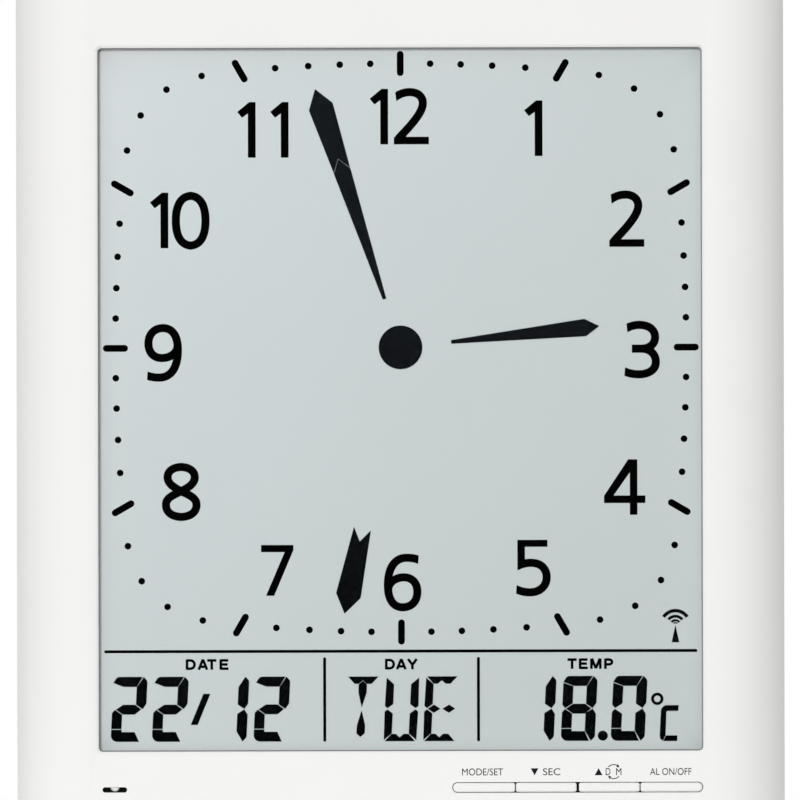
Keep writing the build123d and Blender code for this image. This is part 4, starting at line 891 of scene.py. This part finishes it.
LEGEND_DEPTH = 0.03 * MM
LEGEND_LOW = BUTTON_TOP + 1.22 * MM
LEGEND_HEIGHT = 2.1 * MM
LEGEND_TOP = LEGEND_LOW + LEGEND_HEIGHT
TURN_MIDDLE = np.array([63.8 * MM, LEGEND_LOW + LEGEND_HEIGHT / 2])
TURN_RADIUS, TURN_WIDTH = 2.1 * MM, 0.26 * MM
HEAD_HALF, HEAD_LENGTH, HEAD_LEAN = 0.5 * MM, 0.95 * MM, 0.15 * MM


def legend(text, left, right):
    """Small word between two sides, given in millimetres."""
    return word(text, left * MM, right * MM, LEGEND_LOW, LEGEND_TOP, FRONT_Y - LEGEND_DEPTH, FRONT_Y)


def arrow(left, right, upwards):
    """Small filled triangle, point up or point down."""
    base, tip = (LEGEND_LOW, LEGEND_TOP) if upwards else (LEGEND_TOP, LEGEND_LOW)
    outline = [(left * MM, base), (right * MM, base), ((left + right) * MM / 2, tip)]
    return plate(outline, FRONT_Y - LEGEND_DEPTH, FRONT_Y)


def turning_arrow(start, end):
    """Thin arc run clockwise from one angle to another, with an arrowhead on its end."""
    tip = radians(end)
    out, on = np.array([cos(tip), sin(tip)]), np.array([sin(tip), -cos(tip)])
    head = [
        TURN_MIDDLE + out * (TURN_RADIUS + HEAD_HALF),
        TURN_MIDDLE + out * (TURN_RADIUS - HEAD_HALF),
        TURN_MIDDLE + out * (TURN_RADIUS - HEAD_LEAN) + on * HEAD_LENGTH,
    ]
    outlines = [arc_band(TURN_MIDDLE, TURN_RADIUS, TURN_WIDTH, start, end), head]
    return [plate(outline, FRONT_Y - LEGEND_DEPTH, FRONT_Y) for outline in outlines]


def button_legends():
    """Small words and arrows printed over the four keys."""
    parts = [legend("MODE/SET", 18.3, 30.6), arrow(38.9, 41.2, False), legend("SEC", 42.6, 47.75),
             arrow(58.1, 60.4, True), legend("D", 61.4, 62.8), legend("M", 64.5, 66.1),
             legend("AL ON/OFF", 74.7, 87.1)]
    parts += turning_arrow(140, 62) + turning_arrow(320, 242)
    return piece("button_legends", parts, "legend_grey")


# Smooth mouldings

SQUARE_ON = 0.9999               # part of a normal along one axis from which its face counts as square
JOIN_REACH = 0.002 * MM          # points nearer than this are one point


def join_doubles(mesh):
    """Makes one point of all points that lie at the same place."""
    work = bmesh.new()
    work.from_mesh(mesh)
    bmesh.ops.remove_doubles(work, verts=work.verts, dist=JOIN_REACH)
    work.to_mesh(mesh)
    work.free()


def smooth_copy(node, body, angle=28.0, planes=False):
    """Copy of a packed moulding with its triangles joined and its curved faces shaded smooth.

    With planes, faces square to an axis keep one normal of their own.
    """
    mesh = NODES[node].data.copy()
    mesh.name = node + "_moulding"
    join_doubles(mesh)
    mesh.shade_smooth()
    mesh.set_sharp_from_angle(angle=radians(angle))
    if planes:
        normals = np.zeros(3 * len(mesh.polygons))
        mesh.polygons.foreach_get("normal", normals)
        curved = np.abs(normals.reshape(-1, 3)).max(axis=1) < SQUARE_ON
        mesh.polygons.foreach_set("use_smooth", curved)
    obj = bpy.data.objects.new(node + "_moulding", mesh)
    bpy.context.scene.collection.objects.link(obj)
    even = obj.modifiers.new("even_faces", "WEIGHTED_NORMAL")
    even.weight = 100
    even.keep_sharp = True
    dress(obj, SLOTS[node])
    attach(obj, body)
    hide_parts(node)
    return obj


BEAD_SQUARENESS = 0.6            # 1 is a ball, less is a bead with a flatter front
BEAD_SIDES, BEAD_RINGS = 32, 25
LEG_SIDE, LEG_HALF = 0.6 * MM, 0.22 * MM


def thermometer_bead():
    """Glossy bead with a flattened front: rings of a squared-off ball round y, on two square legs."""
    low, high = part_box("temperature_sensor")
    radius = (high.x - low.x) / 2
    centre = np.array([(low.x + high.x) / 2, low.y + radius, (low.z + high.z) / 2])
    around = np.linspace(0, 2 * pi, BEAD_SIDES, endpoint=False)
    turn, climb = np.meshgrid(around, np.linspace(-pi / 2, pi / 2, BEAD_RINGS))
    ring = np.clip(np.cos(climb), 0.0, None) ** BEAD_SQUARENESS
    depth = np.sign(climb) * np.abs(np.sin(climb)) ** BEAD_SQUARENESS
    ball = np.stack([ring * np.cos(turn), depth, ring * np.sin(turn)], axis=2)
    points = ball.reshape(-1, 3) * radius + centre
    rows, columns = np.meshgrid(np.arange(BEAD_RINGS - 1), np.arange(BEAD_SIDES), indexing="ij")
    here, after = rows * BEAD_SIDES + columns, rows * BEAD_SIDES + (columns + 1) % BEAD_SIDES
    faces = np.stack([here, here + BEAD_SIDES, after + BEAD_SIDES, after], axis=2).reshape(-1, 4)
    parts = [(points, faces.tolist())]
    bottom, top = centre[2] - LEG_HALF, centre[2] + LEG_HALF
    for x in (centre[0] - LEG_SIDE, centre[0] + LEG_SIDE):
        left, right = x - LEG_HALF, x + LEG_HALF
        leg = [(left, bottom), (right, bottom), (right, top), (left, top)]
        parts.append(plate(leg, centre[1], high.y))
    obj = piece("thermometer_bead", parts, "bead_pale", stands_for=("temperature_sensor",))
    join_doubles(obj.data)
    obj.data.shade_smooth()
    obj.data.set_sharp_from_angle(angle=radians(40))
    return obj


# Stage

AMBIENT = 0.50                   # even light from all round
SIDE_TILT = 0.05                 # how much more of it comes from the left
FLOOR_RADIUS = 0.34
FLOOR_SIDES = 96
FLOOR_DROP = 0.02 * MM           # gap under the case
FLOOR_SOLID, FLOOR_FADE = 0.6 * FLOOR_RADIUS, 0.38 * FLOOR_RADIUS
SUBJECT = (0.0, FRONT_Y, VIEW_Z)


def light(name, place, target, size, power, mirrored=True):
    """Soft square lamp that looks at a point; one that isn't mirrored leaves no glare on the window."""
    lamp = bpy.data.lights.new(name, "AREA")
    lamp.shape = "SQUARE"
    lamp.size = size
    lamp.energy = power
    obj = bpy.data.objects.new(name, lamp)
    bpy.context.scene.collection.objects.link(obj)
    obj.visible_glossy = mirrored
    obj.location = place
    obj.rotation_euler = (Vector(place) - Vector(target)).to_track_quat("Z", "Y").to_euler()
    return obj


def studio_world():
    """White backdrop in view and in reflections; surfaces get a dimmer light, more from the left."""
    world = bpy.data.worlds.new("studio")
    bpy.context.scene.world = world
    world.use_nodes = True
    tree = world.node_tree
    path = tree.nodes.new("ShaderNodeLightPath")
    kinds = ("Is Camera Ray", "Is Glossy Ray", "Is Transmission Ray")
    direct, mirrored, through = (Shade(tree, path.outputs[kind]) for kind in kinds)
    seen = (direct + mirrored + through).clamp()
    background = tree.nodes["Background"]
    background.inputs["Color"].default_value = (1.0, 1.0, 1.0, 1.0)
    coords = tree.nodes.new("ShaderNodeTexCoord")
    sideways = Shade(tree, coords.outputs["Generated"]).axis("X")
    even = AMBIENT - SIDE_TILT * sideways
    feed(tree, background.inputs["Strength"], even + (1.0 - even) * seen)


def floor():
    """Pale round floor under the case that fades out towards its rim."""
    rim = disc((0.0, 0.0), FLOOR_RADIUS, FLOOR_SIDES)
    points = np.insert(rim, 2, cad_box[0].z - FLOOR_DROP, axis=1)
    mesh = bpy.data.meshes.new("floor")
    mesh.from_pydata(points.tolist(), [], [list(range(FLOOR_SIDES))])
    obj = bpy.data.objects.new("floor", mesh)
    bpy.context.scene.collection.objects.link(obj)
    made, place, wear = material("floor_pale")
    tree = made.node_tree
    reach = place.node("ShaderNodeVectorMath", {"operation": "LENGTH"}, {0: place}, "Value")
    underside = place.node("ShaderNodeNewGeometry", None, None, "Backfacing")
    fade = ((reach - FLOOR_SOLID) / FLOOR_FADE + underside).clamp()
    dust = place.noise(40.0, 3.0)
    wear(Base_Color=dust.mix((0.84, 0.84, 0.84), (0.87, 0.87, 0.87)), Roughness=0.7)
    clear = tree.nodes.new("ShaderNodeBsdfTransparent")
    blend = tree.nodes.new("ShaderNodeMixShader")
    feed(tree, blend.inputs[0], fade)
    tree.links.new(tree.nodes["Principled BSDF"].outputs[0], blend.inputs[1])
    tree.links.new(clear.outputs[0], blend.inputs[2])
    tree.links.new(blend.outputs[0], tree.nodes["Material Output"].inputs["Surface"])
    mesh.materials.append(made)


def camera():
    """Straight on, with the frame as wide at the case's front as in the photograph."""
    lens = bpy.data.cameras.new("camera")
    lens.sensor_width = SENSOR_WIDTH
    lens.lens = SENSOR_WIDTH * CAMERA_DISTANCE / VIEW_WIDTH
    lens.clip_end = 20.0
    obj = bpy.data.objects.new("camera", lens)
    bpy.context.scene.collection.objects.link(obj)
    obj.location = (VIEW_X, FRONT_Y - CAMERA_DISTANCE, VIEW_Z)
    obj.rotation_euler = (pi / 2, VIEW_ROLL, 0.0)
    bpy.context.scene.camera = obj


camera()
studio_world()
floor()
light("front_softbox", (-0.30, -2.5, 0.22), SUBJECT, 0.5, 28.6, mirrored=False)
light("top_softbox", (-0.30, -0.60, 1.5), SUBJECT, 0.8, 2.8)
light("rear_softbox", (-0.40, 1.7, 0.9), (0.0, 0.0, VIEW_Z), 0.9, 22.0, mirrored=False)
bpy.context.scene.view_settings.view_transform = "Standard"

hour_numerals()
minute_track()
panel_labels()
signal_mast()
dial_segments()
display_digits()
front_glass()
button_legends()
thermometer_bead()
smooth_copy("front_housing", "case")
smooth_copy("rear_cover", "case", planes=True)
smooth_copy("batteries", "case", angle=40.0, planes=True)
smooth_copy("case_screws", "case", angle=40.0, planes=True)
smooth_copy("battery_door", "battery_cover", planes=True)
for name in KEYS:
    smooth_copy("button_" + name, name + "_button", planes=True)
